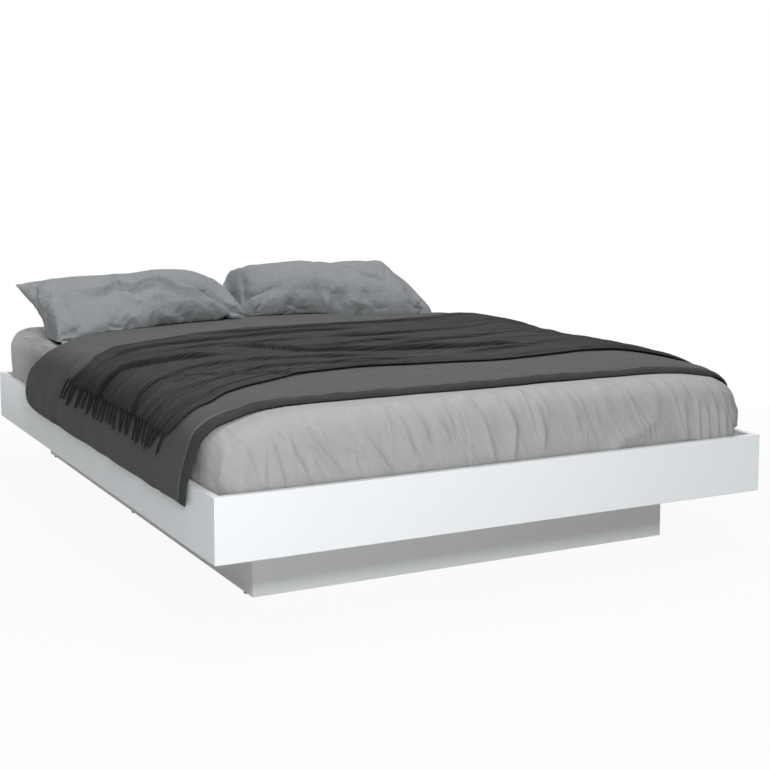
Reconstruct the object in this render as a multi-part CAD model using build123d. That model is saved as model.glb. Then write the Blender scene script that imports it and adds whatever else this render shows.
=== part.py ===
from build123d import *
import math
import os

# A platform bed for a mattress of 1524 by 2032 mm, dressed with a fitted sheet, a duvet, a throw
# and two pillows. All lengths are in millimetres. X runs across the bed, with +X to the right of
# somebody who stands at the foot and looks at the head. The foot is at -Y and the head at +Y.
# The floor is at Z = 0 and the origin is the middle of the bed's box on the floor.

# Mattress and its fitted sheet
mattress_width = 1524.0
mattress_length = 2032.0
mattress_height = 254.0
mattress_corner_radius = 80.0
mattress_top_edge_radius = 45.0
mattress_bottom_edge_radius = 20.0
sheet_thickness = 1.2
sheet_tuck = 120.0
rest_gap = 0.3

# Platform: four melamine boards that stand on edge round the mattress, with room at its sides
# and at its ends
mattress_side_room = 5.0
mattress_end_room = 16.0
rail_height = 154.0
rail_thickness = 18.0
band_round = 1.0

# Plinth: a box of the same boards, set back under the platform and flush at the head
plinth_height = 152.0
plinth_thickness = 18.0
plinth_side_inset = 171.0
plinth_foot_inset = 202.0
plinth_head_inset = 0.0
cross_board_rows = 2

# Floor glides under the plinth boards
glide_height = 5.0
glide_radius = 9.0
glide_round = 1.5
glide_nail_radius = 1.5
glide_nail_length = 14.0
glide_end_inset = 55.0
glides_per_board = 3

# Pine battens: bearers lie along the plinth, ledgers on the inner faces of the rails
batten_height = 40.0
ledger_width = 22.0
bearer_width = 45.0
batten_round = 1.5

# Slats
slat_count = 14
slat_width = 80.0
slat_thickness = 19.0
slat_end_clearance = 2.0
slat_row_margin = 6.0
slat_round = 2.0

# Dowels, cam bolts and cam locks in the corners
dowel_radius = 4.0
dowel_length = 32.0
depth_in_face = 11.0
cam_radius = 7.5
cam_height = 13.2
cam_from_end = 34.0
cam_slot_width = 1.6
cam_slot_length = 9.0
cam_slot_depth = 2.0
cam_bolt_radius = 3.0
fitting_clearance = 0.1

# Heights of the fittings, as shares of the board from its bottom edge
rail_dowel_shares = (0.13, 0.64)
rail_cam_shares = (0.48, 0.80)
plinth_dowel_shares = (0.18, 0.70)
plinth_cam_shares = (0.44,)
cross_dowel_shares = (0.25, 0.65)

# Countersunk wood screws
screw_shank_radius = 2.0
screw_head_radius = 4.0
screw_head_height = 2.6
slat_screw_length = 35.0
ledger_screw_length = 34.0
ledger_screw_count = 5
ledger_screw_end_inset = 60.0
ledger_screw_height_share = 0.35
bearer_screw_length = 70.0
bearer_screw_count = 4

# Steel angle brackets between the bearers' ends and the foot and head ledgers
bracket_leg = 30.0
bracket_height = 28.0
bracket_thickness = 2.0
bracket_bend_radius = 2.6
bracket_screw_length = 16.0
bracket_screw_from_corner = 19.0

# Duvet: over the mattress and down outside both side rails. Each bare length is how far an edge or
# corner of it lies from the mattress's foot or head end.
duvet_foot_bare = 116.0
duvet_head_bare = 196.0
duvet_side_edge_bare = 626.0
duvet_corner_bare = 374.0
duvet_thickness = 20.0
duvet_hang_thickness = 14.0
duvet_hem_thickness = 7.0
duvet_rail_clearance = 3.0
duvet_side_ease = 9.0
duvet_drape_radius = 50.0
duvet_below_rail_top = 56.0
duvet_wave = 4.0
duvet_corner_height = 46.0
duvet_corner_return = 110.0

# Throw: across the duvet, skewed towards the foot at its left end
throw_thickness = 5.0
throw_fold_height = 12.0
throw_clearance = 2.4
throw_foot_bare = 431.0
throw_head_bare = 661.0
throw_left_skew = 320.0
throw_end_drop = 12.0

# Fringe of twisted tassels at both ends of the throw
tassel_count = 28
tassel_length = 66.0
tassel_top_radius = 2.4
tassel_bottom_radius = 4.6
tassel_lean = 7.0
tassel_lean_turn = 2.4

# Pillows, each fuller at the back and drawn in between its corners. Their ends are placed from the
# mattress's sides and middle, and their front and back corners from its head end.
pillow_seam_thickness = 6.0
pillow_height = 178.0
pillow_back_seam_height = 120.0
pillow_draw_in = 36.0
left_pillow_side_inset = 24.0
left_pillow_from_middle = 30.0
left_pillow_front_left_bare = 486.0
left_pillow_front_right_bare = 361.0
left_pillow_back_left_bare = 41.0
left_pillow_back_right_bare = 71.0
right_pillow_side_inset = 50.0
right_pillow_from_middle = 8.0
right_pillow_front_left_bare = 316.0
right_pillow_front_right_bare = 376.0
right_pillow_back_left_bare = 11.0
right_pillow_back_right_bare = 1.0

# Overrun of every cut past the face that it opens
cut_overrun = 1.0

# Places that follow from the sizes above
frame_width = mattress_width + 2 * (mattress_side_room + rail_thickness)
frame_length = mattress_length + 2 * (mattress_end_room + rail_thickness)
rail_bottom = glide_height + plinth_height
rail_top = rail_bottom + rail_height
half_width = frame_width / 2
half_length = frame_length / 2
inner_half_width = half_width - rail_thickness
inner_half_length = half_length - rail_thickness
batten_top = rail_bottom + batten_height
slat_top = batten_top + slat_thickness
mattress_bottom = slat_top + rest_gap + sheet_thickness
mattress_top = mattress_bottom + mattress_height
sheet_top = mattress_top + sheet_thickness
plinth_half_width = half_width - plinth_side_inset
plinth_foot_y = -half_length + plinth_foot_inset
plinth_head_y = half_length - plinth_head_inset
side_board_x = plinth_half_width - plinth_thickness / 2
batten_half_length = inner_half_length - ledger_width
ledger_x = inner_half_width - ledger_width / 2

# Both fastener rows avoid the slats' own screws, which stand at the middle of each slat
slat_row_end = inner_half_length - slat_row_margin - slat_width / 2
slat_ys = [slat_row_end * (2 * k / (slat_count - 1) - 1) for k in range(slat_count)]
gap_ys = [(a + b) / 2 for a, b in zip(slat_ys, slat_ys[1:])]

# Faces that the bedding rests on or clears, and where its edges lie
mattress_side_x = mattress_width / 2
mattress_foot_y = -mattress_length / 2
mattress_head_y = mattress_length / 2
duvet_inner_side_x = mattress_side_x + duvet_side_ease
duvet_hang_inner_x = half_width + duvet_rail_clearance
duvet_underside = sheet_top + rest_gap
duvet_top = duvet_underside + duvet_thickness
duvet_hem_z = rail_top - duvet_below_rail_top
duvet_foot_y = mattress_foot_y + duvet_foot_bare
duvet_head_y = mattress_head_y - duvet_head_bare
duvet_side_edge_y = mattress_head_y - duvet_side_edge_bare
duvet_corner_reach_y = mattress_head_y - duvet_corner_bare
throw_foot_y = mattress_foot_y + throw_foot_bare
throw_head_y = mattress_head_y - throw_head_bare

parts = {}
holes = {}


def board(low, high, edge_round):
    """A straight board between two opposite corners, with its edges lightly rounded."""
    size = [b - a for a, b in zip(low, high)]
    middle = [(a + b) / 2 for a, b in zip(low, high)]
    block = Pos(*middle) * Box(*size)
    return fillet(block.edges(), edge_round)


def rod(start, direction, radius, length):
    """A round bar that starts at a point and runs along a direction."""
    alignment = (Align.CENTER, Align.CENTER, Align.MIN)
    return Plane(origin=start, z_dir=direction) * Cylinder(radius, length, align=alignment)


def along(start, direction, distance):
    """The point at a distance from a start along a unit direction."""
    return tuple(a + d * distance for a, d in zip(start, direction))


def turned(direction):
    """The same direction turned to face the other way."""
    return tuple(-d for d in direction)


def add_hole(node, cutter):
    """Keeps a cutter until its board is cut with all of them at once."""
    holes.setdefault(node, []).append(cutter)


def evenly(values, count):
    """A number of values picked at even steps through a longer list, with both of its ends."""
    last = len(values) - 1
    return [values[round(k * last / (count - 1))] for k in range(count)]


def countersink(start, direction, ease):
    """The cone of a countersunk head, or of its seat when it is eased."""
    alignment = (Align.CENTER, Align.CENTER, Align.MIN)
    cone = Cone(screw_head_radius + ease, screw_shank_radius + ease, screw_head_height, align=alignment)
    return Plane(origin=start, z_dir=direction) * cone


def flush_screw(start, direction, length, carriers):
    """A countersunk screw that ends flush with the face it enters, and its hole in each carrier."""
    neck = along(start, direction, screw_head_height)
    shank = rod(neck, direction, screw_shank_radius, length - screw_head_height)
    outside = along(start, turned(direction), cut_overrun)
    hole_length = length + cut_overrun + fitting_clearance
    hole = rod(outside, direction, screw_shank_radius + fitting_clearance, hole_length)
    for node in carriers:
        add_hole(node, hole)
    add_hole(carriers[0], countersink(start, direction, fitting_clearance))
    return countersink(start, direction, 0) + shank


def dowel(joint, direction, end_node, face_node):
    """A wood dowel that stands in the face of one board and in the end of another."""
    start = along(joint, turned(direction), depth_in_face)
    deeper = along(start, turned(direction), fitting_clearance)
    hole_length = dowel_length + 2 * fitting_clearance
    hole = rod(deeper, direction, dowel_radius + fitting_clearance, hole_length)
    add_hole(end_node, hole)
    add_hole(face_node, hole)
    return rod(start, direction, dowel_radius, dowel_length)


def cam_fitting(joint, direction, inward, end_node, face_node, thickness):
    """A cam bolt in the face of one board and the cam lock that grips it in the end of another."""
    start = along(joint, turned(direction), depth_in_face)
    bolt_length = depth_in_face + cam_from_end - cam_radius - fitting_clearance
    bolt = rod(start, direction, cam_bolt_radius, bolt_length)
    deeper = along(start, turned(direction), fitting_clearance)
    bolt_hole = rod(deeper, direction, cam_bolt_radius + fitting_clearance, depth_in_face + cam_from_end)
    add_hole(face_node, bolt_hole)
    add_hole(end_node, bolt_hole)
    centre = along(joint, direction, cam_from_end)
    mouth = along(centre, inward, thickness / 2)
    lock = rod(mouth, turned(inward), cam_radius, cam_height)
    slot_plane = Plane(origin=mouth, z_dir=inward)
    lock -= slot_plane * Box(cam_slot_length, cam_slot_width, 2 * cam_slot_depth)
    lock -= slot_plane * Box(cam_slot_width, cam_slot_length, 2 * cam_slot_depth)
    cam_mouth = along(mouth, inward, cut_overrun)
    hole_depth = cam_height + cut_overrun + fitting_clearance
    add_hole(end_node, rod(cam_mouth, turned(inward), cam_radius + fitting_clearance, hole_depth))
    return bolt, lock


def make_corner_fittings(prefix, corners, bottom, height, dowel_shares, cam_shares, thickness):
    """Dowels, cam bolts and cam locks in every corner of a box of boards."""
    dowels, bolts, locks = [], [], []
    for x, y, direction, inward, end_node, face_node in corners:
        for share in dowel_shares:
            joint = (x, y, bottom + share * height)
            dowels.append(dowel(joint, direction, end_node, face_node))
        for share in cam_shares:
            joint = (x, y, bottom + share * height)
            bolt, lock = cam_fitting(joint, direction, inward, end_node, face_node, thickness)
            bolts.append(bolt)
            locks.append(lock)
    parts[prefix + "_dowels"] = dowels
    parts[prefix + "_cam_bolts"] = bolts
    parts[prefix + "_cam_locks"] = locks


def make_rails():
    """The four boards round the mattress. Foot and head rails cover the side rails' ends."""
    low_z, high_z = rail_bottom, rail_top
    parts["foot_rail"] = board(
        (-half_width, -half_length, low_z), (half_width, -inner_half_length, high_z), band_round
    )
    parts["head_rail"] = board(
        (-half_width, inner_half_length, low_z), (half_width, half_length, high_z), band_round
    )
    parts["side_rail_left"] = board(
        (-half_width, -inner_half_length, low_z), (-inner_half_width, inner_half_length, high_z), band_round
    )
    parts["side_rail_right"] = board(
        (inner_half_width, -inner_half_length, low_z), (half_width, inner_half_length, high_z), band_round
    )
    corners = []
    for side_node, side in (("side_rail_left", -1), ("side_rail_right", 1)):
        for end_node, end in (("foot_rail", -1), ("head_rail", 1)):
            x = side * (half_width - rail_thickness / 2)
            y = end * inner_half_length
            corners.append((x, y, (0, -end, 0), (-side, 0, 0), side_node, end_node))
    make_corner_fittings(
        "rail", corners, rail_bottom, rail_height, rail_dowel_shares, rail_cam_shares, rail_thickness
    )


def make_plinth():
    """The box under the platform, stiffened by a centre board and cross boards, on its glides."""
    low_z, high_z = glide_height, rail_bottom
    inner_foot_y = plinth_foot_y + plinth_thickness
    inner_head_y = plinth_head_y - plinth_thickness
    inner_x = plinth_half_width - plinth_thickness
    half_board = plinth_thickness / 2
    parts["plinth_foot_board"] = board(
        (-plinth_half_width, plinth_foot_y, low_z), (plinth_half_width, inner_foot_y, high_z), band_round
    )
    parts["plinth_head_board"] = board(
        (-plinth_half_width, inner_head_y, low_z), (plinth_half_width, plinth_head_y, high_z), band_round
    )
    long_boards = {
        "plinth_left_board": -side_board_x,
        "plinth_centre_board": 0,
        "plinth_right_board": side_board_x,
    }
    for node, x in long_boards.items():
        parts[node] = board(
            (x - half_board, inner_foot_y, low_z), (x + half_board, inner_head_y, high_z), band_round
        )

    corners = []
    for node, x in long_boards.items():
        # The locks of the left board face right, and the others face the middle or the left
        inward = (1, 0, 0) if x < 0 else (-1, 0, 0)
        corners.append((x, inner_foot_y, (0, 1, 0), inward, node, "plinth_foot_board"))
        corners.append((x, inner_head_y, (0, -1, 0), inward, node, "plinth_head_board"))
    make_corner_fittings(
        "plinth", corners, low_z, plinth_height, plinth_dowel_shares, plinth_cam_shares, plinth_thickness
    )

    cross_dowels = []
    number = 0
    for row in range(cross_board_rows):
        y = inner_foot_y + (inner_head_y - inner_foot_y) * (row + 1) / (cross_board_rows + 1)
        for side, side_node in ((-1, "plinth_left_board"), (1, "plinth_right_board")):
            number += 1
            node = f"plinth_cross_board_{number}"
            near_x, far_x = sorted((side * half_board, side * inner_x))
            parts[node] = board(
                (near_x, y - half_board, low_z), (far_x, y + half_board, high_z), band_round
            )
            # The two cross boards of a row meet the centre board opposite each other, so their
            # dowels there stand at different heights
            for share in cross_dowel_shares:
                z = low_z + share * plinth_height
                cross_dowels.append(dowel((side * inner_x, y, z), (-side, 0, 0), node, side_node))
            share = cross_dowel_shares[0] if side < 0 else cross_dowel_shares[1]
            z = low_z + share * plinth_height
            centre_joint = (side * half_board, y, z)
            cross_dowels.append(dowel(centre_joint, (side, 0, 0), node, "plinth_centre_board"))
    parts["cross_board_dowels"] = cross_dowels

    glides = []
    for node, x in long_boards.items():
        for k in range(glides_per_board):
            first_y = plinth_foot_y + glide_end_inset
            last_y = plinth_head_y - glide_end_inset
            y = first_y + (last_y - first_y) * k / (glides_per_board - 1)
            foot = rod((x, y, 0), (0, 0, 1), glide_radius, glide_height)
            foot = fillet(foot.edges().group_by(Axis.Z)[0], glide_round)
            nail = rod((x, y, glide_height), (0, 0, 1), glide_nail_radius, glide_nail_length)
            glides.append(foot + nail)
            nail_hole = rod(
                (x, y, glide_height - cut_overrun), (0, 0, 1), glide_nail_radius + fitting_clearance,
                glide_nail_length + cut_overrun + fitting_clearance,
            )
            add_hole(node, nail_hole)
    parts["floor_glides"] = glides


def make_battens():
    """Bearers on the plinth and ledgers on the rails, which together carry the slats."""
    low_z, high_z = rail_bottom, batten_top
    bearer_places = {"bearer_left": -side_board_x, "bearer_centre": 0, "bearer_right": side_board_x}
    board_below = {
        "bearer_left": "plinth_left_board",
        "bearer_centre": "plinth_centre_board",
        "bearer_right": "plinth_right_board",
    }
    for node, x in bearer_places.items():
        parts[node] = board(
            (x - bearer_width / 2, -batten_half_length, low_z),
            (x + bearer_width / 2, batten_half_length, high_z), batten_round,
        )
    parts["ledger_left"] = board(
        (-inner_half_width, -batten_half_length, low_z),
        (-inner_half_width + ledger_width, batten_half_length, high_z), batten_round,
    )
    parts["ledger_right"] = board(
        (inner_half_width - ledger_width, -batten_half_length, low_z),
        (inner_half_width, batten_half_length, high_z), batten_round,
    )
    parts["ledger_foot"] = board(
        (-inner_half_width, -inner_half_length, low_z),
        (inner_half_width, -batten_half_length, high_z), batten_round,
    )
    parts["ledger_head"] = board(
        (-inner_half_width, batten_half_length, low_z),
        (inner_half_width, inner_half_length, high_z), batten_round,
    )

    ledger_screws = []
    screw_z = rail_bottom + ledger_screw_height_share * batten_height
    sides = ((-1, "ledger_left", "side_rail_left"), (1, "ledger_right", "side_rail_right"))
    for side, ledger, rail in sides:
        for y in evenly(gap_ys, ledger_screw_count):
            start = (side * (inner_half_width - ledger_width), y, screw_z)
            ledger_screws.append(flush_screw(start, (side, 0, 0), ledger_screw_length, (ledger, rail)))
    last_x = inner_half_width - ledger_screw_end_inset
    ends = ((-1, "ledger_foot", "foot_rail"), (1, "ledger_head", "head_rail"))
    for end, ledger, rail in ends:
        for k in range(ledger_screw_count):
            x = last_x * (2 * k / (ledger_screw_count - 1) - 1)
            start = (x, end * batten_half_length, screw_z)
            ledger_screws.append(flush_screw(start, (0, end, 0), ledger_screw_length, (ledger, rail)))
    parts["ledger_screws"] = ledger_screws

    first_y = plinth_foot_y + cam_from_end + plinth_thickness
    over_plinth = [y for y in gap_ys if y > first_y]
    bearer_screws = []
    for node, x in bearer_places.items():
        carriers = (node, board_below[node])
        for y in evenly(over_plinth, bearer_screw_count):
            start = (x, y, batten_top)
            bearer_screws.append(flush_screw(start, (0, 0, -1), bearer_screw_length, carriers))
    parts["bearer_screws"] = bearer_screws
    return bearer_places


def angle_bracket():
    """A steel angle with a screw hole in each leg, its corner on the Z axis and its bottom at zero."""
    t, leg = bracket_thickness, bracket_leg
    outline = Polyline((0, 0), (leg, 0), (leg, t), (t, t), (t, leg), (0, leg), close=True)
    face = make_face(outline)
    outer = [v for v in face.vertices() if v.X + v.Y < t / 2]
    face = fillet(outer, bracket_bend_radius)
    angle = extrude(face, amount=bracket_height)
    hole_radius = screw_shank_radius + fitting_clearance
    reach = t + 2 * cut_overrun
    middle = bracket_height / 2
    angle -= rod((bracket_screw_from_corner, -cut_overrun, middle), (0, 1, 0), hole_radius, reach)
    angle -= rod((-cut_overrun, bracket_screw_from_corner, middle), (1, 0, 0), hole_radius, reach)
    return angle


def pan_screw(face_point, direction, carrier):
    """A screw whose head stands on a bracket's leg, and its hole in the batten behind the leg."""
    back = along(face_point, turned(direction), screw_head_height)
    head = rod(back, direction, screw_head_radius, screw_head_height)
    shank = rod(face_point, direction, screw_shank_radius, bracket_screw_length)
    hole_radius = screw_shank_radius + fitting_clearance
    add_hole(carrier, rod(face_point, direction, hole_radius, bracket_screw_length + fitting_clearance))
    return head + shank


def make_brackets(bearer_places):
    """An angle bracket in the corner of each bearer's end and the ledger that it meets."""
    brackets, screws = [], []
    low_z = rail_bottom + (batten_height - bracket_height) / 2
    screw_z = low_z + bracket_height / 2
    for node, x in bearer_places.items():
        corner_x = x + bearer_width / 2
        for end, ledger in ((-1, "ledger_foot"), (1, "ledger_head")):
            corner_y = end * batten_half_length
            angle = angle_bracket()
            if end > 0:
                angle = mirror(angle, about=Plane.XZ)
            brackets.append(Pos(corner_x, corner_y, low_z) * angle)
            ledger_face_y = corner_y - end * bracket_thickness
            on_ledger = (corner_x + bracket_screw_from_corner, ledger_face_y, screw_z)
            screws.append(pan_screw(on_ledger, (0, end, 0), ledger))
            bearer_face_x = corner_x + bracket_thickness
            on_bearer = (bearer_face_x, corner_y - end * bracket_screw_from_corner, screw_z)
            screws.append(pan_screw(on_bearer, (-1, 0, 0), node))
    parts["bearer_brackets"] = brackets
    parts["bracket_screws"] = screws


def make_slats(bearer_places):
    """The slats, with one screw through each at both ledgers and at every bearer."""
    reach = inner_half_width - slat_end_clearance
    screws = []
    carriers = {"ledger_left": -ledger_x, "ledger_right": ledger_x, **bearer_places}
    for k, y in enumerate(slat_ys):
        node = f"slat_{k + 1:02d}"
        low = (-reach, y - slat_width / 2, batten_top)
        high = (reach, y + slat_width / 2, slat_top)
        parts[node] = board(low, high, slat_round)
        for carrier, x in carriers.items():
            screws.append(flush_screw((x, y, slat_top), (0, 0, -1), slat_screw_length, (node, carrier)))
    parts["slat_screws"] = screws


def rounded_block(width, length, bottom, top, corner_radius, bottom_radius, top_radius):
    """A block with rounded corners in plan and its own radius round the top and the bottom."""
    outline = RectangleRounded(width, length, corner_radius)
    block = extrude(Plane.XY.offset(bottom) * outline, amount=top - bottom)
    block = fillet(block.edges().group_by(Axis.Z)[-1], top_radius)
    return fillet(block.edges().group_by(Axis.Z)[0], bottom_radius)


def make_mattress():
    """The mattress and the fitted sheet, which wraps its sides and a strip of its underside."""
    core = rounded_block(
        mattress_width, mattress_length, mattress_bottom, mattress_top,
        mattress_corner_radius, mattress_bottom_edge_radius, mattress_top_edge_radius,
    )
    grow = sheet_thickness
    skin = rounded_block(
        mattress_width + 2 * grow, mattress_length + 2 * grow, mattress_bottom - grow, mattress_top + grow,
        mattress_corner_radius + grow, mattress_bottom_edge_radius + grow, mattress_top_edge_radius + grow,
    )
    open_width = mattress_width - 2 * sheet_tuck
    open_length = mattress_length - 2 * sheet_tuck
    opening = Pos(0, 0, mattress_bottom - grow / 2) * extrude(
        RectangleRounded(open_width, open_length, mattress_corner_radius), amount=2 * grow, both=True
    )
    parts["mattress"] = core
    parts["fitted_sheet"] = skin - core - opening


def ring(points):
    """A closed wire. A point in a pair with a second one is reached by an arc through that second."""
    edges = []
    ends = [p[0] if isinstance(p[0], tuple) else p for p in points]
    for k, step in enumerate(points):
        start = ends[k - 1]
        if isinstance(step[0], tuple):
            edges.append(Edge.make_three_point_arc(start, step[1], step[0]))
        else:
            edges.append(Edge.make_line(start, step))
    return Wire(edges)


def duvet_section(y, thickness, hang_thickness, left_wave, right_wave):
    """The duvet's outline across the bed at one place along it."""
    top = duvet_underside + thickness
    radius = duvet_drape_radius
    shoulder_z = duvet_underside - radius
    shoulder_x = duvet_inner_side_x - radius
    outer_side_x = duvet_inner_side_x + hang_thickness
    diagonal = math.sqrt(0.5)
    inner_via = (shoulder_x + diagonal * radius, shoulder_z + diagonal * radius)
    outer_via = (
        shoulder_x + diagonal * (radius + hang_thickness),
        shoulder_z + diagonal * (radius + thickness),
    )
    outline = []
    for side, wave in ((-1, left_wave), (1, right_wave)):
        inner_x = duvet_hang_inner_x + wave
        half = [
            (inner_x, duvet_hem_z),
            (inner_x, rail_top),
            (duvet_inner_side_x, shoulder_z),
            ((shoulder_x, duvet_underside), inner_via),
            (shoulder_x, top),
            ((outer_side_x, shoulder_z), outer_via),
            (inner_x + hang_thickness, rail_top),
            (inner_x + hang_thickness, duvet_hem_z),
        ]
        outline.append((side, half))

    def place(side, point):
        return (side * point[0], y, point[1])

    left_side, left = outline[0]
    right_side, right = outline[1]
    steps = [place(left_side, left[0]), place(left_side, left[1]), place(left_side, left[2])]
    steps.append((place(left_side, left[3][0]), place(left_side, left[3][1])))
    steps.append(place(right_side, right[3][0]))
    steps.append((place(right_side, right[2]), place(right_side, right[3][1])))
    steps += [place(right_side, right[k]) for k in (1, 0, 7, 6)]
    steps.append(place(right_side, right[5][0]))
    steps.append((place(right_side, right[4]), place(right_side, right[5][1])))
    steps.append(place(left_side, left[4]))
    steps.append((place(left_side, left[5][0]), place(left_side, left[5][1])))
    steps += [place(left_side, left[6]), place(left_side, left[7])]
    return ring(steps)


# Places along the duvet from foot to head, as shares, with the share of the full thickness there
# and the share of the full wave on the left and on the right
duvet_section_shares = (
    (0.0, 0.0, 0.2, 0.5),
    (0.018, 0.8, 0.3, 0.6),
    (0.10, 1.0, 0.9, 0.2),
    (0.24, 0.95, 0.1, 0.9),
    (0.42, 1.0, 0.8, 0.3),
    (0.58, 0.95, 0.2, 1.0),
    (0.76, 1.0, 1.0, 0.2),
    (0.88, 1.0, 0.4, 0.8),
    (0.98, 1.0, 0.6, 0.5),
    (1.0, 0.4, 0.6, 0.4),
)


# Where the head edge turns on top of the bed, as a share of half the width, and how far it has run
# there from the side edge's place to the head edge's place
duvet_head_turn_share = 0.6
duvet_head_run_share = 0.45
duvet_head_middle_share = 0.35

# The head corner's round lower edge: its middle as shares of the corner's height
duvet_corner_back_share = 0.4
duvet_corner_rise_share = 0.3


def duvet_top_cutter(side, far_y, outer_x):
    """What is cut off the duvet's top on one side, so that its head edge runs back to the middle."""
    turn_x = duvet_inner_side_x * duvet_head_turn_share
    turn_y = duvet_side_edge_y + duvet_head_run_share * (duvet_head_y - duvet_side_edge_y)
    middle_x = duvet_inner_side_x * duvet_head_middle_share
    outline = Polyline(
        (side * outer_x, duvet_side_edge_y), (side * duvet_inner_side_x, duvet_side_edge_y),
        (side * turn_x, turn_y), (side * middle_x, far_y), (side * outer_x, far_y), close=True,
    )
    bottom = Plane.XY.offset(duvet_underside - duvet_drape_radius)
    return extrude(bottom * make_face(outline), amount=2 * duvet_drape_radius)


def duvet_side_cutter(side, far_y, outer_x):
    """What is cut off the duvet's hanging side, which leaves a round corner at the hem."""
    x = duvet_inner_side_x - duvet_drape_radius
    top_z = duvet_underside - duvet_drape_radius
    corner_z = duvet_hem_z + duvet_corner_height
    below_z = duvet_hem_z - cut_overrun
    return_y = duvet_corner_reach_y - duvet_corner_return
    via_y = duvet_corner_reach_y - duvet_corner_back_share * duvet_corner_height
    via_z = duvet_hem_z + duvet_corner_rise_share * duvet_corner_height
    outline = ring([
        (x, duvet_side_edge_y, top_z),
        (x, duvet_corner_reach_y, corner_z),
        ((x, return_y, duvet_hem_z), (x, via_y, via_z)),
        (x, return_y, below_z),
        (x, far_y, below_z),
        (x, far_y, top_z),
    ])
    cutter = extrude(Face(outline), amount=outer_x - x, dir=(1, 0, 0))
    return mirror(cutter, about=Plane.YZ) if side < 0 else cutter


def make_duvet():
    """The duvet, with the waves of its hanging sides and its head corners drawn back."""
    sections = []
    for share, fullness, left_wave, right_wave in duvet_section_shares:
        y = duvet_foot_y + share * (duvet_head_y - duvet_foot_y)
        thickness = duvet_hem_thickness + fullness * (duvet_thickness - duvet_hem_thickness)
        hang = duvet_hem_thickness + fullness * (duvet_hang_thickness - duvet_hem_thickness)
        sections.append(duvet_section(y, thickness, hang, left_wave * duvet_wave, right_wave * duvet_wave))
    duvet = Solid.make_loft(sections, ruled=True)
    far_y = duvet_head_y + cut_overrun
    outer_x = duvet_hang_inner_x + duvet_hang_thickness + duvet_wave + cut_overrun
    for side in (-1, 1):
        duvet -= duvet_top_cutter(side, far_y, outer_x)
        duvet -= duvet_side_cutter(side, far_y, outer_x)
    parts["duvet"] = duvet


# The throw's folds, from its foot edge to its head edge: the place along its width and the share of
# the fold height there. Each fold rises slowly and drops sharply, as laid cloth does.
throw_fold_shares = (
    (0.0, 0.1), (0.05, 0.45), (0.16, 0.2), (0.30, 0.75), (0.325, 0.15), (0.46, 0.35),
    (0.58, 1.0), (0.61, 0.15), (0.74, 0.25), (0.86, 0.85), (0.89, 0.2), (0.96, 0.4), (1.0, 0.1),
)

# The throw's edges from left to right: place across the bed as a share of half its width, then how
# much of the left skew the foot edge and the head edge have there
throw_edge_shares = (
    (-1.0, 0.83, 1.14),
    (-0.88, 0.60, 0.78),
    (-0.72, 0.22, 0.50),
    (-0.50, 0.03, 0.25),
    (-0.25, -0.06, 0.06),
    (0.10, 0.0, 0.0),
    (0.50, 0.02, -0.04),
    (0.80, -0.06, 0.0),
    (1.0, -0.10, 0.06),
)

# Steps of the quarter turn in which the throw bends over each side of the bed
throw_bend_shares = (0.25, 0.5, 0.75, 1.0)


def duvet_outer_x(z):
    """How far out the duvet's hanging side can reach at a height, its waves included."""
    shoulder_z = duvet_underside - duvet_drape_radius
    widest = duvet_hang_inner_x + duvet_wave + duvet_hang_thickness
    narrowest = duvet_inner_side_x + duvet_hang_thickness
    share = min(1, (shoulder_z - z) / (shoulder_z - rail_top))
    return narrowest + share * (widest - narrowest)


def throw_surface(station):
    """The point under the throw and the direction out of the cloth at one station across the bed."""
    half_span = duvet_inner_side_x - duvet_drape_radius
    base_z = duvet_top + throw_clearance
    shoulder_z = duvet_underside - duvet_drape_radius
    outer_x = duvet_outer_x(shoulder_z) + throw_clearance
    kind, place = station
    side = -1 if place < 0 else 1
    if kind == "top":
        return (place * half_span, base_z), (0, 1)
    if kind == "bend":
        # place is the share of the quarter turn from the top, with the sign of the side
        turn = math.radians(90 * abs(place))
        x = half_span + math.sin(turn) * (outer_x - half_span)
        z = shoulder_z + math.cos(turn) * (base_z - shoulder_z)
        return (side * x, z), (side * math.sin(turn), math.cos(turn))
    end_z = shoulder_z - throw_end_drop
    return (side * (duvet_outer_x(end_z) + throw_clearance), end_z), (side, 0)


def throw_section(base, out, foot_y, head_y):
    """One closed outline of the throw: flat underneath, with its folds on the outside."""
    def lifted(y, height):
        return (base[0] + out[0] * height, y, base[1] + out[1] * height)

    steps = [lifted(foot_y, 0), lifted(head_y, 0)]
    for share, height in reversed(throw_fold_shares):
        y = foot_y + share * (head_y - foot_y)
        steps.append(lifted(y, throw_thickness + height * throw_fold_height))
    return ring(steps)


def make_throw():
    """The throw, lofted from its left end over the bed to its right end."""
    stations = [("end", -1)] + [("bend", -share) for share in reversed(throw_bend_shares)]
    stations += [("top", edge[0]) for edge in throw_edge_shares]
    stations += [("bend", share) for share in throw_bend_shares] + [("end", 1)]
    first, last = throw_edge_shares[0], throw_edge_shares[-1]
    turns = 1 + len(throw_bend_shares)
    edges = [first] * turns + list(throw_edge_shares) + [last] * turns
    sections = []
    ends = {}
    for station, (_, foot_share, head_share) in zip(stations, edges):
        base, out = throw_surface(station)
        foot_y = throw_foot_y - foot_share * throw_left_skew
        head_y = throw_head_y - head_share * throw_left_skew
        sections.append(throw_section(base, out, foot_y, head_y))
        ends[station[0], station[1]] = (base, foot_y, head_y)
    parts["throw"] = Solid.make_loft(sections, ruled=True)
    return ends


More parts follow.
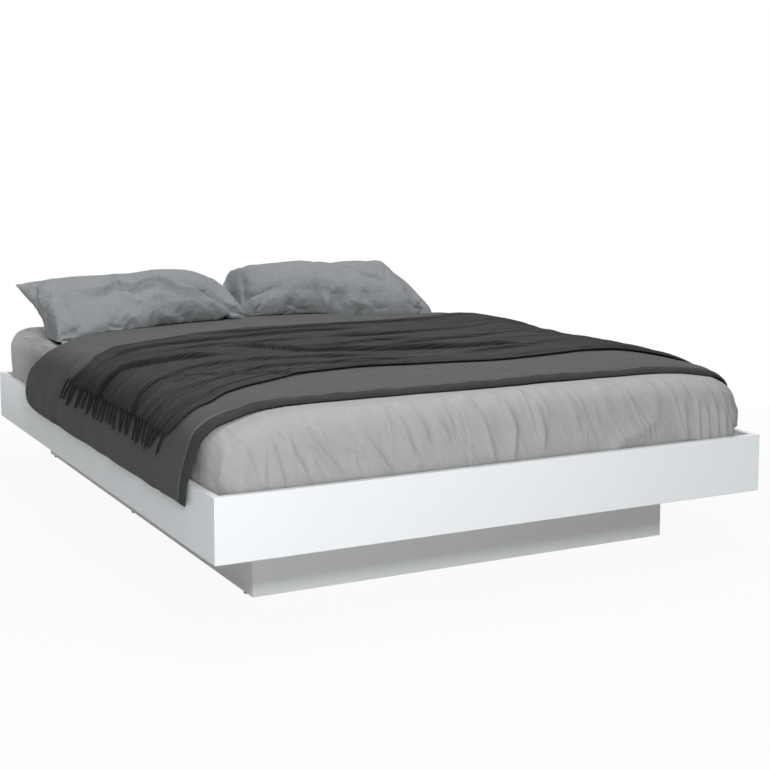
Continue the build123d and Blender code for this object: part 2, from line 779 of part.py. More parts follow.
def make_fringe(ends):
    """Tassels that hang from both ends of the throw, outside the duvet."""
    for side, node in ((-1, "throw_fringe_left"), (1, "throw_fringe_right")):
        base, foot_y, head_y = ends["end", side]
        tassels = []
        for k in range(tassel_count):
            share = (k + 0.5) / tassel_count
            y = foot_y + share * (head_y - foot_y)
            top_x = base[0] + side * throw_thickness
            top_z = base[1] - rest_gap
            lean = tassel_lean * math.sin(tassel_lean_turn * k)
            bottom_x = side * (duvet_outer_x(rail_top) + throw_clearance + tassel_bottom_radius)
            top = Plane(origin=(top_x, y, top_z), z_dir=(0, 0, -1)) * Circle(tassel_top_radius)
            bottom_place = (bottom_x, y + lean, top_z - tassel_length)
            bottom = Plane(origin=bottom_place, z_dir=(0, 0, -1)) * Circle(tassel_bottom_radius)
            tassels.append(loft([top.face(), bottom.face()], ruled=True))
        parts[node] = tassels


# Sections along a pillow from its left end to its right end: the place as a share of its length,
# the share of its full thickness, and the share of the draw-in between its corners
pillow_section_shares = (
    (0.0, 0.04, 0.0),
    (0.09, 0.46, 0.45),
    (0.24, 0.84, 0.9),
    (0.48, 1.0, 1.0),
    (0.72, 0.92, 0.9),
    (0.90, 0.50, 0.5),
    (1.0, 0.04, 0.0),
)

# A pillow's outline across it: its crest as a share of its depth and of its rise to the back, where
# a thin and a full section leave the bed, and how deep the underside sags towards the back
pillow_crest_share = 0.58
pillow_thin_rest_share = 0.06
pillow_full_rest_share = 0.68
pillow_rest_fullness_share = 0.8
pillow_sag_share = 0.24
pillow_thin_sag_share = 0.2

# How much of the draw-in at the front a pillow has at its back
pillow_back_draw_share = 1 / 3


def pillow_section(x, front_y, back_y, fullness):
    """One outline across a pillow: flat where it lies on the bed, with its crown towards the back."""
    lie_z = duvet_top + rest_gap
    seam = pillow_seam_thickness
    depth = back_y - front_y
    back_z = lie_z + pillow_back_seam_height
    slope = pillow_back_seam_height / depth
    crest_y = front_y + pillow_crest_share * depth
    chord_z = lie_z + seam + pillow_crest_share * pillow_back_seam_height
    crest_z = chord_z + fullness * (lie_z + pillow_height - chord_z)
    # The underside leaves the bed near the front at the thin ends and far back in the middle
    rest_step_share = pillow_full_rest_share - pillow_thin_rest_share
    fullness_share = min(1, fullness / pillow_rest_fullness_share)
    rest_y = front_y + (pillow_thin_rest_share + rest_step_share * fullness_share) * depth
    under_y = (rest_y + back_y) / 2
    straight_z = (lie_z + back_z) / 2
    sag = pillow_sag_share * slope * (back_y - rest_y) * (pillow_thin_sag_share + fullness)
    return ring([
        (x, front_y, lie_z),
        (x, front_y, lie_z + seam),
        ((x, back_y, back_z + seam), (x, crest_y, crest_z)),
        (x, back_y, back_z),
        ((x, rest_y, lie_z), (x, under_y, straight_z - sag)),
    ])


def make_pillow(node, left_x, right_x, left_bare, right_bare):
    """A pillow lofted through its outlines from its left end to its right end. How far its front
    and its back corners lie from the mattress's head end is given for both ends."""
    sections = []
    for share, fullness, drawn in pillow_section_shares:
        x = left_x + share * (right_x - left_x)
        front_bare, back_bare = (a + share * (b - a) for a, b in zip(left_bare, right_bare))
        front_y = mattress_head_y - front_bare + drawn * pillow_draw_in
        back_y = mattress_head_y - back_bare - drawn * pillow_draw_in * pillow_back_draw_share
        sections.append(pillow_section(x, front_y, back_y, fullness))
    parts[node] = Solid.make_loft(sections)


def main():
    make_rails()
    make_plinth()
    bearer_places = make_battens()
    make_brackets(bearer_places)
    make_slats(bearer_places)
    make_mattress()
    make_duvet()
    make_fringe(make_throw())
    make_pillow(
        "pillow_left", -mattress_side_x + left_pillow_side_inset, -left_pillow_from_middle,
        (left_pillow_front_left_bare, left_pillow_back_left_bare),
        (left_pillow_front_right_bare, left_pillow_back_right_bare),
    )
    make_pillow(
        "pillow_right", right_pillow_from_middle, mattress_side_x - right_pillow_side_inset,
        (right_pillow_front_left_bare, right_pillow_back_left_bare),
        (right_pillow_front_right_bare, right_pillow_back_right_bare),
    )
    for node, cutters in holes.items():
        parts[node] = parts[node].cut(*cutters)

    os.makedirs("parts", exist_ok=True)
    for node, shape in parts.items():
        pieces = shape if isinstance(shape, list) else [shape]
        solids = [solid for piece in pieces for solid in piece.solids()]
        whole = solids[0] if len(solids) == 1 else Compound(children=solids)
        whole.label = node
        export_step(whole, f"parts/{node}.step")


main()
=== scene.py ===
import bpy
import math
import random
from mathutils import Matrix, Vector, noise


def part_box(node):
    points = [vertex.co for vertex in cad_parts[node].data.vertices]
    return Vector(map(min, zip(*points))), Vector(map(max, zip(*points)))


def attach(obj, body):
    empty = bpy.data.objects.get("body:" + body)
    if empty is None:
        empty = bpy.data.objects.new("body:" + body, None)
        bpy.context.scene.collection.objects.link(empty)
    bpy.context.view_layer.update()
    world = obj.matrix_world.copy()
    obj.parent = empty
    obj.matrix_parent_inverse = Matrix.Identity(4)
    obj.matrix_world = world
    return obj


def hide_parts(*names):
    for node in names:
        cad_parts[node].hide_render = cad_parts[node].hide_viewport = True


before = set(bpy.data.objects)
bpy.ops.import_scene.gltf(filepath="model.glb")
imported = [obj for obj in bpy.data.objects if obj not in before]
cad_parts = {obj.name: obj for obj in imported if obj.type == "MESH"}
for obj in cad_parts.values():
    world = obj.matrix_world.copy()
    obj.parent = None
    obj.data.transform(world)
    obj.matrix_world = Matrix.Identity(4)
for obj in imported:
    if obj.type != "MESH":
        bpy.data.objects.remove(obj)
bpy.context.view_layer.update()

# Studio
# A pale floor, a white surround and soft lamps: in front and to the left, overhead, a weak one low
# down and a narrow one at the bed's head. The camera stands at the foot, to the left.
bpy.ops.object.select_all(action="DESELECT")
bpy.ops.object.camera_add(
    location=(-1.8664, -3.9298, 1.0532),
    rotation=(math.radians(83.99), 0, math.radians(-27.606)),
)
camera = bpy.context.active_object
camera.name = "photo_camera"
camera.data.sensor_width = 36
camera.data.lens = 66.23
camera.data.shift_y = -0.10
bpy.context.scene.camera = camera
bpy.context.scene.view_settings.view_transform = "Standard"


def soft_lamp(name, place, target, size, watts):
    """A rectangular lamp that looks at a target."""
    bpy.ops.object.light_add(type="AREA", location=place)
    lamp = bpy.context.active_object
    lamp.name = name
    lamp.data.shape = "RECTANGLE"
    lamp.data.size, lamp.data.size_y = size
    lamp.data.energy = watts
    lamp.rotation_euler = (Vector(target) - Vector(place)).to_track_quat("-Z", "Y").to_euler()
    return lamp


soft_lamp("front_softbox", (-1.9, -4.7, 2.8), (0, 0, 0.3), (1.2, 1.0), 153)
soft_lamp("overhead_softbox", (0.3, 0.4, 3.9), (0, 0, 0.3), (2.0, 2.0), 104)
soft_lamp("plinth_softbox", (-1.5, -3.4, 0.35), (-0.4, -0.82, 0.06), (0.8, 0.4), 15)
head_spot = soft_lamp("head_snoot", (-3.0, 1.2, 1.5), (-0.76, 0.95, 0.53), (0.4, 0.4), 0.33)
head_spot.data.spread = math.radians(14)

bpy.ops.mesh.primitive_plane_add(size=60, location=(0, 0, -0.0005))
floor = bpy.context.active_object
floor.name = "studio_floor"


def set_socket(tree, socket, value):
    """Links a socket to another, or gives it a plain value. Plain colours leave out their alpha."""
    if isinstance(value, bpy.types.NodeSocket):
        tree.links.new(value, socket)
    else:
        socket.default_value = (*value, 1) if socket.type == "RGBA" else value


def feed(tree, node, **values):
    """Sets a node's inputs by their labels, with underscores for blanks. Returns the node."""
    for label, value in values.items():
        set_socket(tree, node.inputs[label.replace("_", " ")], value)
    return node


def new_node(tree, kind, **values):
    """A shader node of a kind, with sockets or plain values for its inputs."""
    return feed(tree, tree.nodes.new("ShaderNode" + kind), **values)


def math_node(tree, operation, *values):
    """A math node with sockets or numbers as its inputs. Returns its output."""
    node = new_node(tree, "Math")
    node.operation = operation
    for socket, value in zip(node.inputs, values):
        set_socket(tree, socket, value)
    return node.outputs[0]


def ramp_node(tree, factor, low, high, low_value=0.0, high_value=1.0):
    """The factor spread between two limits, and clamped."""
    node = new_node(tree, "MapRange", Value=factor, From_Min=low, From_Max=high)
    return feed(tree, node, To_Min=low_value, To_Max=high_value).outputs[0]


def seen_white(tree):
    """One for rays from the camera and for reflected and transmitted ones."""
    rays = new_node(tree, "LightPath").outputs
    seen = math_node(tree, "MAXIMUM", rays["Is Camera Ray"], rays["Is Glossy Ray"])
    return math_node(tree, "MAXIMUM", seen, rays["Is Transmission Ray"])


def mixed_output(tree, kind, share, first, second):
    """Two shaders, mixed by a share, as the tree's output."""
    mix = new_node(tree, "MixShader")
    for socket, source in zip(mix.inputs, (share, first.outputs[0], second.outputs[0])):
        tree.links.new(source, socket)
    new_node(tree, kind, Surface=mix.outputs[0])


floor_material = bpy.data.materials.new("studio_floor_paper")
floor_material.use_nodes = True
tree = floor_material.node_tree
tree.nodes.clear()
paper = new_node(tree, "BsdfDiffuse", Color=(0.50, 0.50, 0.50))
glow = new_node(tree, "Emission", Color=(1, 1, 1), Strength=1.0)
# The floor keeps a faint shadow under the bed, and is as white as the surround further out
from_bed = new_node(tree, "VectorMath")
from_bed.operation = "LENGTH"
tree.links.new(new_node(tree, "TexCoord").outputs["Object"], from_bed.inputs[0])
far_out = ramp_node(tree, from_bed.outputs["Value"], 1.2, 2.6, 0.94, 1.0)
whiteness = math_node(tree, "MULTIPLY", seen_white(tree), far_out)
mixed_output(tree, "OutputMaterial", whiteness, paper, glow)
floor.data.materials.append(floor_material)

world = bpy.data.worlds.new("studio_surround")
bpy.context.scene.world = world
world.use_nodes = True
tree = world.node_tree
tree.nodes.clear()
room_light = new_node(tree, "Background", Color=(0.96, 0.98, 1.0), Strength=0.175)
white_wall = new_node(tree, "Background", Color=(1, 1, 1), Strength=1.0)
mixed_output(tree, "OutputWorld", seen_white(tree), room_light, white_wall)

# Plinth boards
# Chipboard faced with white melamine and banded on its edges. The face has a fine orange-peel
# texture, and the band's glue line shows as a hair-thin line near each edge.
glue_line_reach = 0.00012


def new_group(name, inputs, outputs):
    """An empty shader group with its named inputs, their first values, and its outputs."""
    group = bpy.data.node_groups.new(name, "ShaderNodeTree")
    for label, value in (("Vector", None), *inputs):
        kind = "NodeSocketVector" if value is None else "NodeSocketFloat"
        made = group.interface.new_socket(label, in_out="INPUT", socket_type=kind)
        if value is not None:
            made.default_value = value
    for label in outputs:
        group.interface.new_socket(label, in_out="OUTPUT", socket_type="NodeSocketFloat")
    return group, group.nodes.new("NodeGroupInput").outputs, group.nodes.new("NodeGroupOutput")


def noise_node(tree, vector, scale, detail=2.0, roughness=0.5, distortion=0.0):
    """A noise texture on a vector. Returns its factor, about 0.5 on average."""
    node = new_node(tree, "TexNoise", Vector=vector, Scale=scale, Detail=detail)
    return feed(tree, node, Roughness=roughness, Distortion=distortion).outputs[0]


def stretched(tree, vector, scale):
    """The vector scaled by its own amount along each axis."""
    return new_node(tree, "Mapping", Vector=vector, Scale=scale).outputs[0]


def mixed_colour(tree, factor, first, second):
    """A colour between two, which may be sockets or values."""
    node = new_node(tree, "Mix")
    node.data_type = "RGBA"
    for place, value in ((0, factor), (6, first), (7, second)):
        set_socket(tree, node.inputs[place], value)
    return node.outputs[2]


def new_material(name, coordinates="Object"):
    """A material with its tree, its shader and one output of its texture coordinates."""
    material = bpy.data.materials.new(name)
    material.use_nodes = True
    tree = material.node_tree
    return material, tree, tree.nodes["Principled BSDF"], new_node(tree, "TexCoord").outputs[coordinates]


def bump_node(tree, height, distance, *under):
    """A bump from a height socket, with its depth in metres, over another bump if there is one."""
    node = new_node(tree, "Bump", Height=height, Distance=distance)
    for normal in under:
        feed(tree, node, Normal=normal)
    return node.outputs["Normal"]


def placed_group(tree, group, **values):
    """A group placed in a material, with sockets or values for its inputs. Returns its outputs."""
    node = new_node(tree, "Group")
    node.node_tree = group
    return feed(tree, node, **values).outputs


# Masks near a board's edges, from its lowest and highest corner: the worn arris and the glue line
board_edge, edge_in, edge_out = new_group(
    "board_edge",
    (("Low", None), ("High", None), ("Wear width", 0.002), ("Band thickness", 0.001)),
    ("Wear", "Glue line"),
)
point, low, high = [
    new_node(board_edge, "SeparateXYZ", Vector=edge_in[label]).outputs
    for label in ("Vector", "Low", "High")
]
depths = []
for axis in range(3):
    from_low = math_node(board_edge, "SUBTRACT", point[axis], low[axis])
    from_high = math_node(board_edge, "SUBTRACT", high[axis], point[axis])
    depths.append(math_node(board_edge, "MINIMUM", from_low, from_high))
# A point on a face lies at depth zero of one pair of faces, so the second depth is to the edge
nearest = math_node(board_edge, "MINIMUM", depths[0], depths[1])
next_one = math_node(board_edge, "MAXIMUM", depths[0], depths[1])
next_one = math_node(board_edge, "MINIMUM", next_one, depths[2])
to_edge = math_node(board_edge, "MAXIMUM", nearest, next_one)
broken = ramp_node(board_edge, noise_node(board_edge, edge_in["Vector"], 90.0, 3.0), 0.4, 0.7)
worn = math_node(board_edge, "MULTIPLY", edge_in["Wear width"], broken)
off_line = math_node(board_edge, "SUBTRACT", to_edge, edge_in["Band thickness"])
off_line = math_node(board_edge, "ABSOLUTE", off_line)
feed(
    board_edge, edge_out, Wear=math_node(board_edge, "LESS_THAN", to_edge, worn),
    Glue_line=math_node(board_edge, "LESS_THAN", off_line, glue_line_reach),
)


def white_melamine(node):
    """The melamine of one board, with its wear and glue line along that board's own edges."""
    low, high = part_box(node)
    material, tree, shader, where = new_material(node + "_melamine")
    edges = placed_group(tree, board_edge, Vector=where, Low=low, High=high)
    cloudy = noise_node(tree, where, 3.0, 2.0)
    face = mixed_colour(tree, cloudy, (0.775, 0.815, 0.830), (0.800, 0.838, 0.850))
    line_share = math_node(tree, "MULTIPLY", edges["Glue line"], 0.55)
    lined = mixed_colour(tree, line_share, face, (0.52, 0.51, 0.47))
    rub_share = math_node(tree, "MULTIPLY", edges["Wear"], 0.35)
    smears = noise_node(tree, stretched(tree, where, (1, 1, 3)), 9.0, 4.0, 0.6)
    peel = noise_node(tree, where, 700.0, 1.0)
    feed(
        tree, shader, Base_Color=mixed_colour(tree, rub_share, lined, (0.70, 0.69, 0.66)),
        Roughness=ramp_node(tree, smears, 0.3, 0.7, 0.34, 0.46), Normal=bump_node(tree, peel, 0.00006),
    )
    return material


def finish_node(node, material):
    """Gives a CAD piece its material."""
    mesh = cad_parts[node].data
    mesh.materials.clear()
    mesh.materials.append(material)


plinth_boards = [f"plinth_{place}_board" for place in ("foot", "head", "left", "centre", "right")]
plinth_boards += [f"plinth_cross_board_{number}" for number in range(1, 5)]
for board in plinth_boards:
    finish_node(board, white_melamine(board))

# Corner fittings
# Fluted beech dowels locate every joint, and zinc-cast cam locks pull the steel cam bolts tight.
# All of them are hidden once the boards are together.

# Grain that runs along X: broad rings, fine lines and pores, as masks and as a height
wood_grain, grain_in, grain_out = new_group(
    "wood_grain", (("Ring scale", 26.0), ("Pore scale", 240.0)), ("Rings", "Pores", "Height")
)
drawn_out = stretched(wood_grain, grain_in["Vector"], (0.05, 1, 1))
warp = noise_node(wood_grain, drawn_out, 14.0, 3.0, 0.55, 0.6)
ring_noise = noise_node(wood_grain, drawn_out, grain_in["Ring scale"], 4.0, 0.5, 1.4)
ring_wave = math_node(wood_grain, "SINE", math_node(wood_grain, "MULTIPLY", ring_noise, 42.0))
rings = math_node(wood_grain, "MULTIPLY_ADD", ring_wave, 0.35, warp)
pores = ramp_node(wood_grain, noise_node(wood_grain, drawn_out, grain_in["Pore scale"]), 0.35, 0.65)
feed(
    wood_grain, grain_out, Rings=ramp_node(wood_grain, rings, 0.1, 0.9), Pores=pores,
    Height=math_node(wood_grain, "MULTIPLY_ADD", rings, 0.5, pores),
)


def bare_wood(name, pale, dark, turn, ring_scale):
    """Planed wood with its grain along X, turned about Z by some degrees."""
    material, tree, shader, where = new_material(name)
    turned = new_node(tree, "Mapping", Vector=where, Rotation=(0, 0, math.radians(turn))).outputs[0]
    grain = placed_group(tree, wood_grain, Vector=turned, Ring_scale=ring_scale)
    ringed = mixed_colour(tree, grain["Rings"], pale, dark)
    darker = tuple(0.62 * part for part in dark)
    pore_share = math_node(tree, "MULTIPLY", grain["Pores"], 0.3)
    feed(
        tree, shader, Base_Color=mixed_colour(tree, pore_share, ringed, darker),
        Roughness=ramp_node(tree, grain["Rings"], 0, 1, 0.62, 0.50),
        Normal=bump_node(tree, grain["Height"], 0.00025),
    )
    return material


beech = bare_wood("beech", (0.60, 0.41, 0.25), (0.47, 0.29, 0.16), 0, 60.0)
for dowels in ("plinth_dowels", "cross_board_dowels", "rail_dowels"):
    finish_node(dowels, beech)

# Zinc plate: bright metal with crystal patches and fine rubbing marks
plated, plated_in, plated_out = new_group(
    "plated_surface", (("Patch scale", 260.0),), ("Patches", "Rubbing", "Height")
)
cells = new_node(plated, "TexVoronoi", Vector=plated_in["Vector"], Scale=plated_in["Patch scale"])
rubbing = noise_node(plated, stretched(plated, plated_in["Vector"], (1, 1, 6)), 420.0, 4.0, 0.7)
feed(
    plated, plated_out, Patches=ramp_node(plated, cells.outputs["Distance"], 0.0, 0.8),
    Rubbing=rubbing, Height=math_node(plated, "MULTIPLY", rubbing, 0.5),
)


def zinc_plated(name, base, tint, patch_scale):
    """Zinc-plated steel, or zinc casting."""
    material, tree, shader, where = new_material(name)
    surface = placed_group(tree, plated, Vector=where, Patch_scale=patch_scale)
    feed(
        tree, shader, Metallic=1.0, Base_Color=mixed_colour(tree, surface["Patches"], base, tint),
        Roughness=ramp_node(tree, surface["Rubbing"], 0.3, 0.7, 0.26, 0.44),
        Normal=bump_node(tree, surface["Height"], 0.00008),
    )
    return material


cam_zinc = zinc_plated("cam_lock_zinc", (0.52, 0.53, 0.55), (0.66, 0.66, 0.67), 400.0)
bolt_steel = zinc_plated("cam_bolt_steel", (0.62, 0.60, 0.54), (0.72, 0.70, 0.64), 500.0)
for box_name in ("plinth", "rail"):
    finish_node(box_name + "_cam_locks", cam_zinc)
    finish_node(box_name + "_cam_bolts", bolt_steel)

# Floor glides
# Grey nylon discs with a moulded-in nail, knocked into the bottom edges of the long plinth boards.
glide_nylon, tree, shader, where = new_material("glide_nylon")
grit = noise_node(tree, where, 900.0, 3.0)
scuffed = ramp_node(tree, noise_node(tree, stretched(tree, where, (1, 1, 8)), 60.0, 4.0, 0.7), 0.4, 0.7)
feed(
    tree, shader, Base_Color=mixed_colour(tree, scuffed, (0.16, 0.165, 0.17), (0.24, 0.24, 0.235)),
    Roughness=ramp_node(tree, grit, 0.3, 0.7, 0.45, 0.62), Normal=bump_node(tree, grit, 0.0001),
)
finish_node("floor_glides", glide_nylon)

# Rails
# Four boards of the same melamine on edge round the mattress. The foot and head rails run past
# the side rails, whose ends they cover.
for board in ("foot_rail", "head_rail", "side_rail_left", "side_rail_right"):
    finish_node(board, white_melamine(board))

# Battens and slats
# Planed pine: bearers along the plinth, ledgers screwed to the rails, and fourteen slats across.
pine_along = bare_wood("pine_along_the_bed", (0.70, 0.53, 0.33), (0.55, 0.36, 0.19), 90, 22.0)
pine_across = bare_wood("pine_across_the_bed", (0.72, 0.55, 0.35), (0.57, 0.38, 0.20), 0, 22.0)
for batten in ("bearer_left", "bearer_centre", "bearer_right", "ledger_left", "ledger_right"):
    finish_node(batten, pine_along)
for batten in ("ledger_foot", "ledger_head", *(f"slat_{number:02d}" for number in range(1, 15))):
    finish_node(batten, pine_across)

# Screws and brackets
# Zinc-plated wood screws, and steel angles that tie the bearers to the foot and head ledgers.
screw_steel = zinc_plated("screw_steel", (0.60, 0.57, 0.46), (0.70, 0.68, 0.60), 600.0)
for screws in ("ledger_screws", "bearer_screws", "slat_screws", "bracket_screws"):
    finish_node(screws, screw_steel)
bracket_steel = zinc_plated("bracket_steel", (0.55, 0.56, 0.58), (0.68, 0.69, 0.70), 180.0)
finish_node("bearer_brackets", bracket_steel)

# Mattress
# Foam and springs in a knitted ticking, closed by a bound tape edge round the top and the bottom.
# The panels are quilted, so they dimple in a diamond pattern.
mattress_low, mattress_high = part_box("mattress")
cover_room = 0.004
mattress_half_x = mattress_high.x - cover_room
mattress_half_y = mattress_high.y - cover_room
mattress_corner = 0.076
foot_sag = 0.040
right_sag = 0.025
foot_sag_above = 0.300
quilt_pitch = 0.127
quilt_depth = 0.0025
tape_radius = 0.0028


def clamped(value):
    """The value, kept between 0 and 1."""
    return min(1, max(0, value))


def eased(points, at):
    """The value at a place on a smooth line through a few points, level beyond its ends."""
    if at <= points[0][0]:
        return points[0][1]
    if at >= points[-1][0]:
        return points[-1][1]
    k = 1
    while points[k][0] < at:
        k += 1
    (a, value_a), (b, value_b) = points[k - 1], points[k]
    step, slope = b - a, (value_b - value_a) / (b - a)
    slope_a, slope_b = slope, slope
    if k > 1:
        step_before = a - points[k - 2][0]
        slope_before = (value_a - points[k - 2][1]) / step_before
        slope_a = (slope * step_before + slope_before * step) / (step + step_before)
    if k + 1 < len(points):
        step_after = points[k + 1][0] - b
        slope_after = (points[k + 1][1] - value_b) / step_after
        slope_b = (slope * step_after + slope_after * step) / (step + step_after)
    t = (at - a) / step
    rise = t * t * (3 - 2 * t)
    bend = t * (1 - t) * step * ((1 - t) * slope_a - t * slope_b)
    return value_a + rise * (value_b - value_a) + bend


# The bedding sinks softly at the foot corners: shares of the sag by place across and along the bed
sag_across = ((0.55, 0.0), (0.62, 0.18), (0.70, 0.70), (0.76, 1.0))
sag_along = ((-0.95, 1.0), (-0.90, 0.62), (-0.80, 0.32), (-0.69, 0.14), (-0.56, 0.0))


def settled(point):
    """A place on the bedding, lowered near the foot corners, and not at all near the rails."""
    share = eased(sag_across, abs(point.x)) * eased(sag_along, point.y)
    height = clamped((point.z - foot_sag_above) / (mattress_high.z - foot_sag_above))
    sag = right_sag if point.x > 0 else foot_sag
    return Vector((point.x, point.y, point.z - sag * share * height))


def spaced(runs):
    """Shares from 0 to 1 with a number of even steps in each run, given by its end and its steps."""
    shares, start = [0.0], 0.0
    for end, steps in runs:
        shares += [start + (end - start) * (k + 1) / steps for k in range(steps)]
        start = end
    return shares


def round_outline(half_x, half_y, radius, shares_x, shares_y, steps_corner):
    """Points round a rectangle with round corners, from the left of its foot, and their ways out."""
    inner_x, inner_y = half_x - radius, half_y - radius
    back_x = [1 - share for share in reversed(shares_x)]
    back_y = [1 - share for share in reversed(shares_y)]
    runs = (
        ((-inner_x, -half_y), (2 * inner_x, 0), shares_x, (inner_x, -inner_y), -90),
        ((half_x, -inner_y), (0, 2 * inner_y), shares_y, (inner_x, inner_y), 0),
        ((inner_x, half_y), (-2 * inner_x, 0), back_x, (-inner_x, inner_y), 90),
        ((-half_x, inner_y), (0, -2 * inner_y), back_y, (-inner_x, -inner_y), 180),
    )
    points = []
    for start, step, shares, centre, first_angle in runs:
        angle = math.radians(first_angle)
        out = (math.cos(angle), math.sin(angle))
        for share in shares[:-1]:
            points.append(((start[0] + share * step[0], start[1] + share * step[1]), out))
        for k in range(steps_corner):
            angle = math.radians(first_angle + 90 * k / steps_corner)
            out = (math.cos(angle), math.sin(angle))
            points.append(((centre[0] + radius * out[0], centre[1] + radius * out[1]), out))
    return points


def only_active(piece):
    """Makes a piece the active and the only selected one."""
    bpy.ops.object.select_all(action="DESELECT")
    bpy.context.view_layer.objects.active = piece
    piece.select_set(True)


def new_piece(name, data):
    """A new active piece of a mesh or a curve."""
    piece = bpy.data.objects.new(name, data)
    bpy.context.scene.collection.objects.link(piece)
    only_active(piece)
    return piece


def grid_faces(first, steps_x, steps_y):
    """A grid's faces, and the vertices of its border from its first corner on."""
    row = steps_x + 1
    faces = []
    for j in range(steps_y):
        for i in range(steps_x):
            a = first + j * row + i
            faces.append((a, a + 1, a + 1 + row, a + row))
    border = [first + i for i in range(steps_x)]
    border += [first + steps_x + j * row for j in range(steps_y)]
    border += [first + steps_y * row + steps_x - i for i in range(steps_x)]
    border += [first + (steps_y - j) * row for j in range(steps_y)]
    return faces, border


def block_rings(name, half_x, half_y, radius, steps, profile, shape, ends=(0,)):
    """A mesh of rings down the side of a block with round corners, closed by a grid at its ends.

    profile lists each ring's inset and height, shape gives a point's final place from its plain
    place, its way out and its distance down the profile, and ends names the rings that are closed."""
    shares_x, shares_y, steps_corner = steps
    steps_x, steps_y = len(shares_x) - 1, len(shares_y) - 1
    outline = round_outline(half_x, half_y, radius, shares_x, shares_y, steps_corner)
    vertices, uvs, faces = [], [], []
    runs = [0.0]
    for (inset_a, z_a), (inset_b, z_b) in zip(profile, profile[1:]):
        runs.append(runs[-1] + math.hypot(inset_b - inset_a, z_b - z_a))
    around = 0.0
    arounds = [0.0]
    for (a, _), (b, _) in zip(outline, outline[1:]):
        around += math.hypot(b[0] - a[0], b[1] - a[1])
        arounds.append(around)
    for ring, (inset, z) in enumerate(profile):
        before, after = profile[max(ring - 1, 0)], profile[min(ring + 1, len(profile) - 1)]
        # The way out of the profile is square to its run: up on the top, outward on the side
        rise, spread = before[1] - after[1], before[0] - after[0]
        size = math.hypot(rise, spread)
        for k, ((x, y), out) in enumerate(outline):
            plain = Vector((x - inset * out[0], y - inset * out[1], z))
            away = Vector((out[0] * rise / size, out[1] * rise / size, spread / size))
            vertices.append(shape(plain, away, runs[ring]))
            uvs.append((arounds[k], -runs[ring]))
    count = len(outline)
    for ring in range(len(profile) - 1):
        for k in range(count):
            a, b = ring * count + k, ring * count + (k + 1) % count
            faces.append((a, a + count, b + count, b))
    inner_x, inner_y = half_x - radius, half_y - radius
    for end in ends:
        # The grid over an end meets each corner's arc at one point, from which a fan spreads
        first = len(vertices)
        gap = radius - profile[end][0]
        up = 1 if end == 0 else -1
        for j in range(steps_y + 1):
            for i in range(steps_x + 1):
                x = inner_x * (2 * shares_x[i] - 1)
                y = inner_y * (2 * shares_y[j] - 1)
                run = -gap - min(inner_x - abs(x), inner_y - abs(y))
                vertices.append(shape(Vector((x, y, profile[end][1])), Vector((0, 0, up)), run))
                uvs.append((x, y))
        grid, border = grid_faces(first, steps_x, steps_y)
        faces += grid
        ring_start = end % len(profile) * count
        at = begin = 0
        for side_steps in (steps_x, steps_y, steps_x, steps_y):
            for k in range(side_steps):
                a, b = border[begin + k], border[(begin + k + 1) % len(border)]
                faces.append((ring_start + at + k, ring_start + (at + k + 1) % count, b, a))
            at += side_steps
            begin += side_steps
            corner = border[begin % len(border)]
            for k in range(steps_corner):
                faces.append((ring_start + at + k, ring_start + (at + k + 1) % count, corner))
            at += steps_corner
    mesh = bpy.data.meshes.new(name)
    mesh.from_pydata(vertices, [], faces)
    layer = mesh.uv_layers.new(name="cloth_metres")
    for loop in mesh.loops:
        layer.data[loop.index].uv = uvs[loop.vertex_index]
    return new_piece(name, mesh)


def closed_round(piece):
    """Turns every face of the active piece outwards, and shades it smooth."""
    bpy.ops.object.mode_set(mode="EDIT")
    bpy.ops.mesh.select_all(action="SELECT")
    bpy.ops.mesh.normals_make_consistent(inside=False)
    bpy.ops.object.mode_set(mode="OBJECT")
    bpy.ops.object.shade_smooth()


def quarter_round(radius, top, steps):
    """The inset and height of points round a block's top edge."""
    turns = [math.radians(90 * k / steps) for k in range(steps + 1)]
    return [(radius * (1 - math.sin(turn)), top - radius * (1 - math.cos(turn))) for turn in turns]


mattress_top = mattress_high.z - 0.0015
mattress_bottom = mattress_low.z + 0.002
mattress_edge = 0.058
mattress_profile = [(0.068, mattress_top)] + quarter_round(mattress_edge, mattress_top, 8)
mattress_profile += [(0, mattress_bottom + share * 0.17) for share in (1.0, 0.75, 0.5, 0.25)]
mattress_profile += [(0.004, mattress_bottom + 0.012), (0.012, mattress_bottom + 0.004)]
mattress_profile += [(0.024, mattress_bottom)]


def quilted(plain, away, run):
    """The top panel's diamond quilting, which fades out towards the edge."""
    if run > -0.02:
        return settled(plain)
    a, b = (plain.x + plain.y) / quilt_pitch, (plain.x - plain.y) / quilt_pitch
    dip = 1 - min(abs(math.sin(math.pi * a)), abs(math.sin(math.pi * b))) ** 0.5
    return settled(plain - away * quilt_depth * dip)


mattress = block_rings(
    "mattress_in_ticking", mattress_half_x, mattress_half_y, mattress_corner,
    (spaced(((1.0, 96),)), spaced(((1.0, 128),)), 8), mattress_profile, quilted, (0, -1),
)
closed_round(mattress)


def round_curve(name, radius, resolution):
    """A curve with a round section."""
    curve = bpy.data.curves.new(name, "CURVE")
    curve.dimensions = "3D"
    curve.bevel_depth = radius
    curve.bevel_resolution = resolution
    return curve


def smooth_mesh(name, curve):
    """A curve made into a smooth mesh, as a new piece."""
    piece = new_piece(name, curve)
    bpy.ops.object.convert(target="MESH")
    bpy.ops.object.shade_smooth()
    return piece


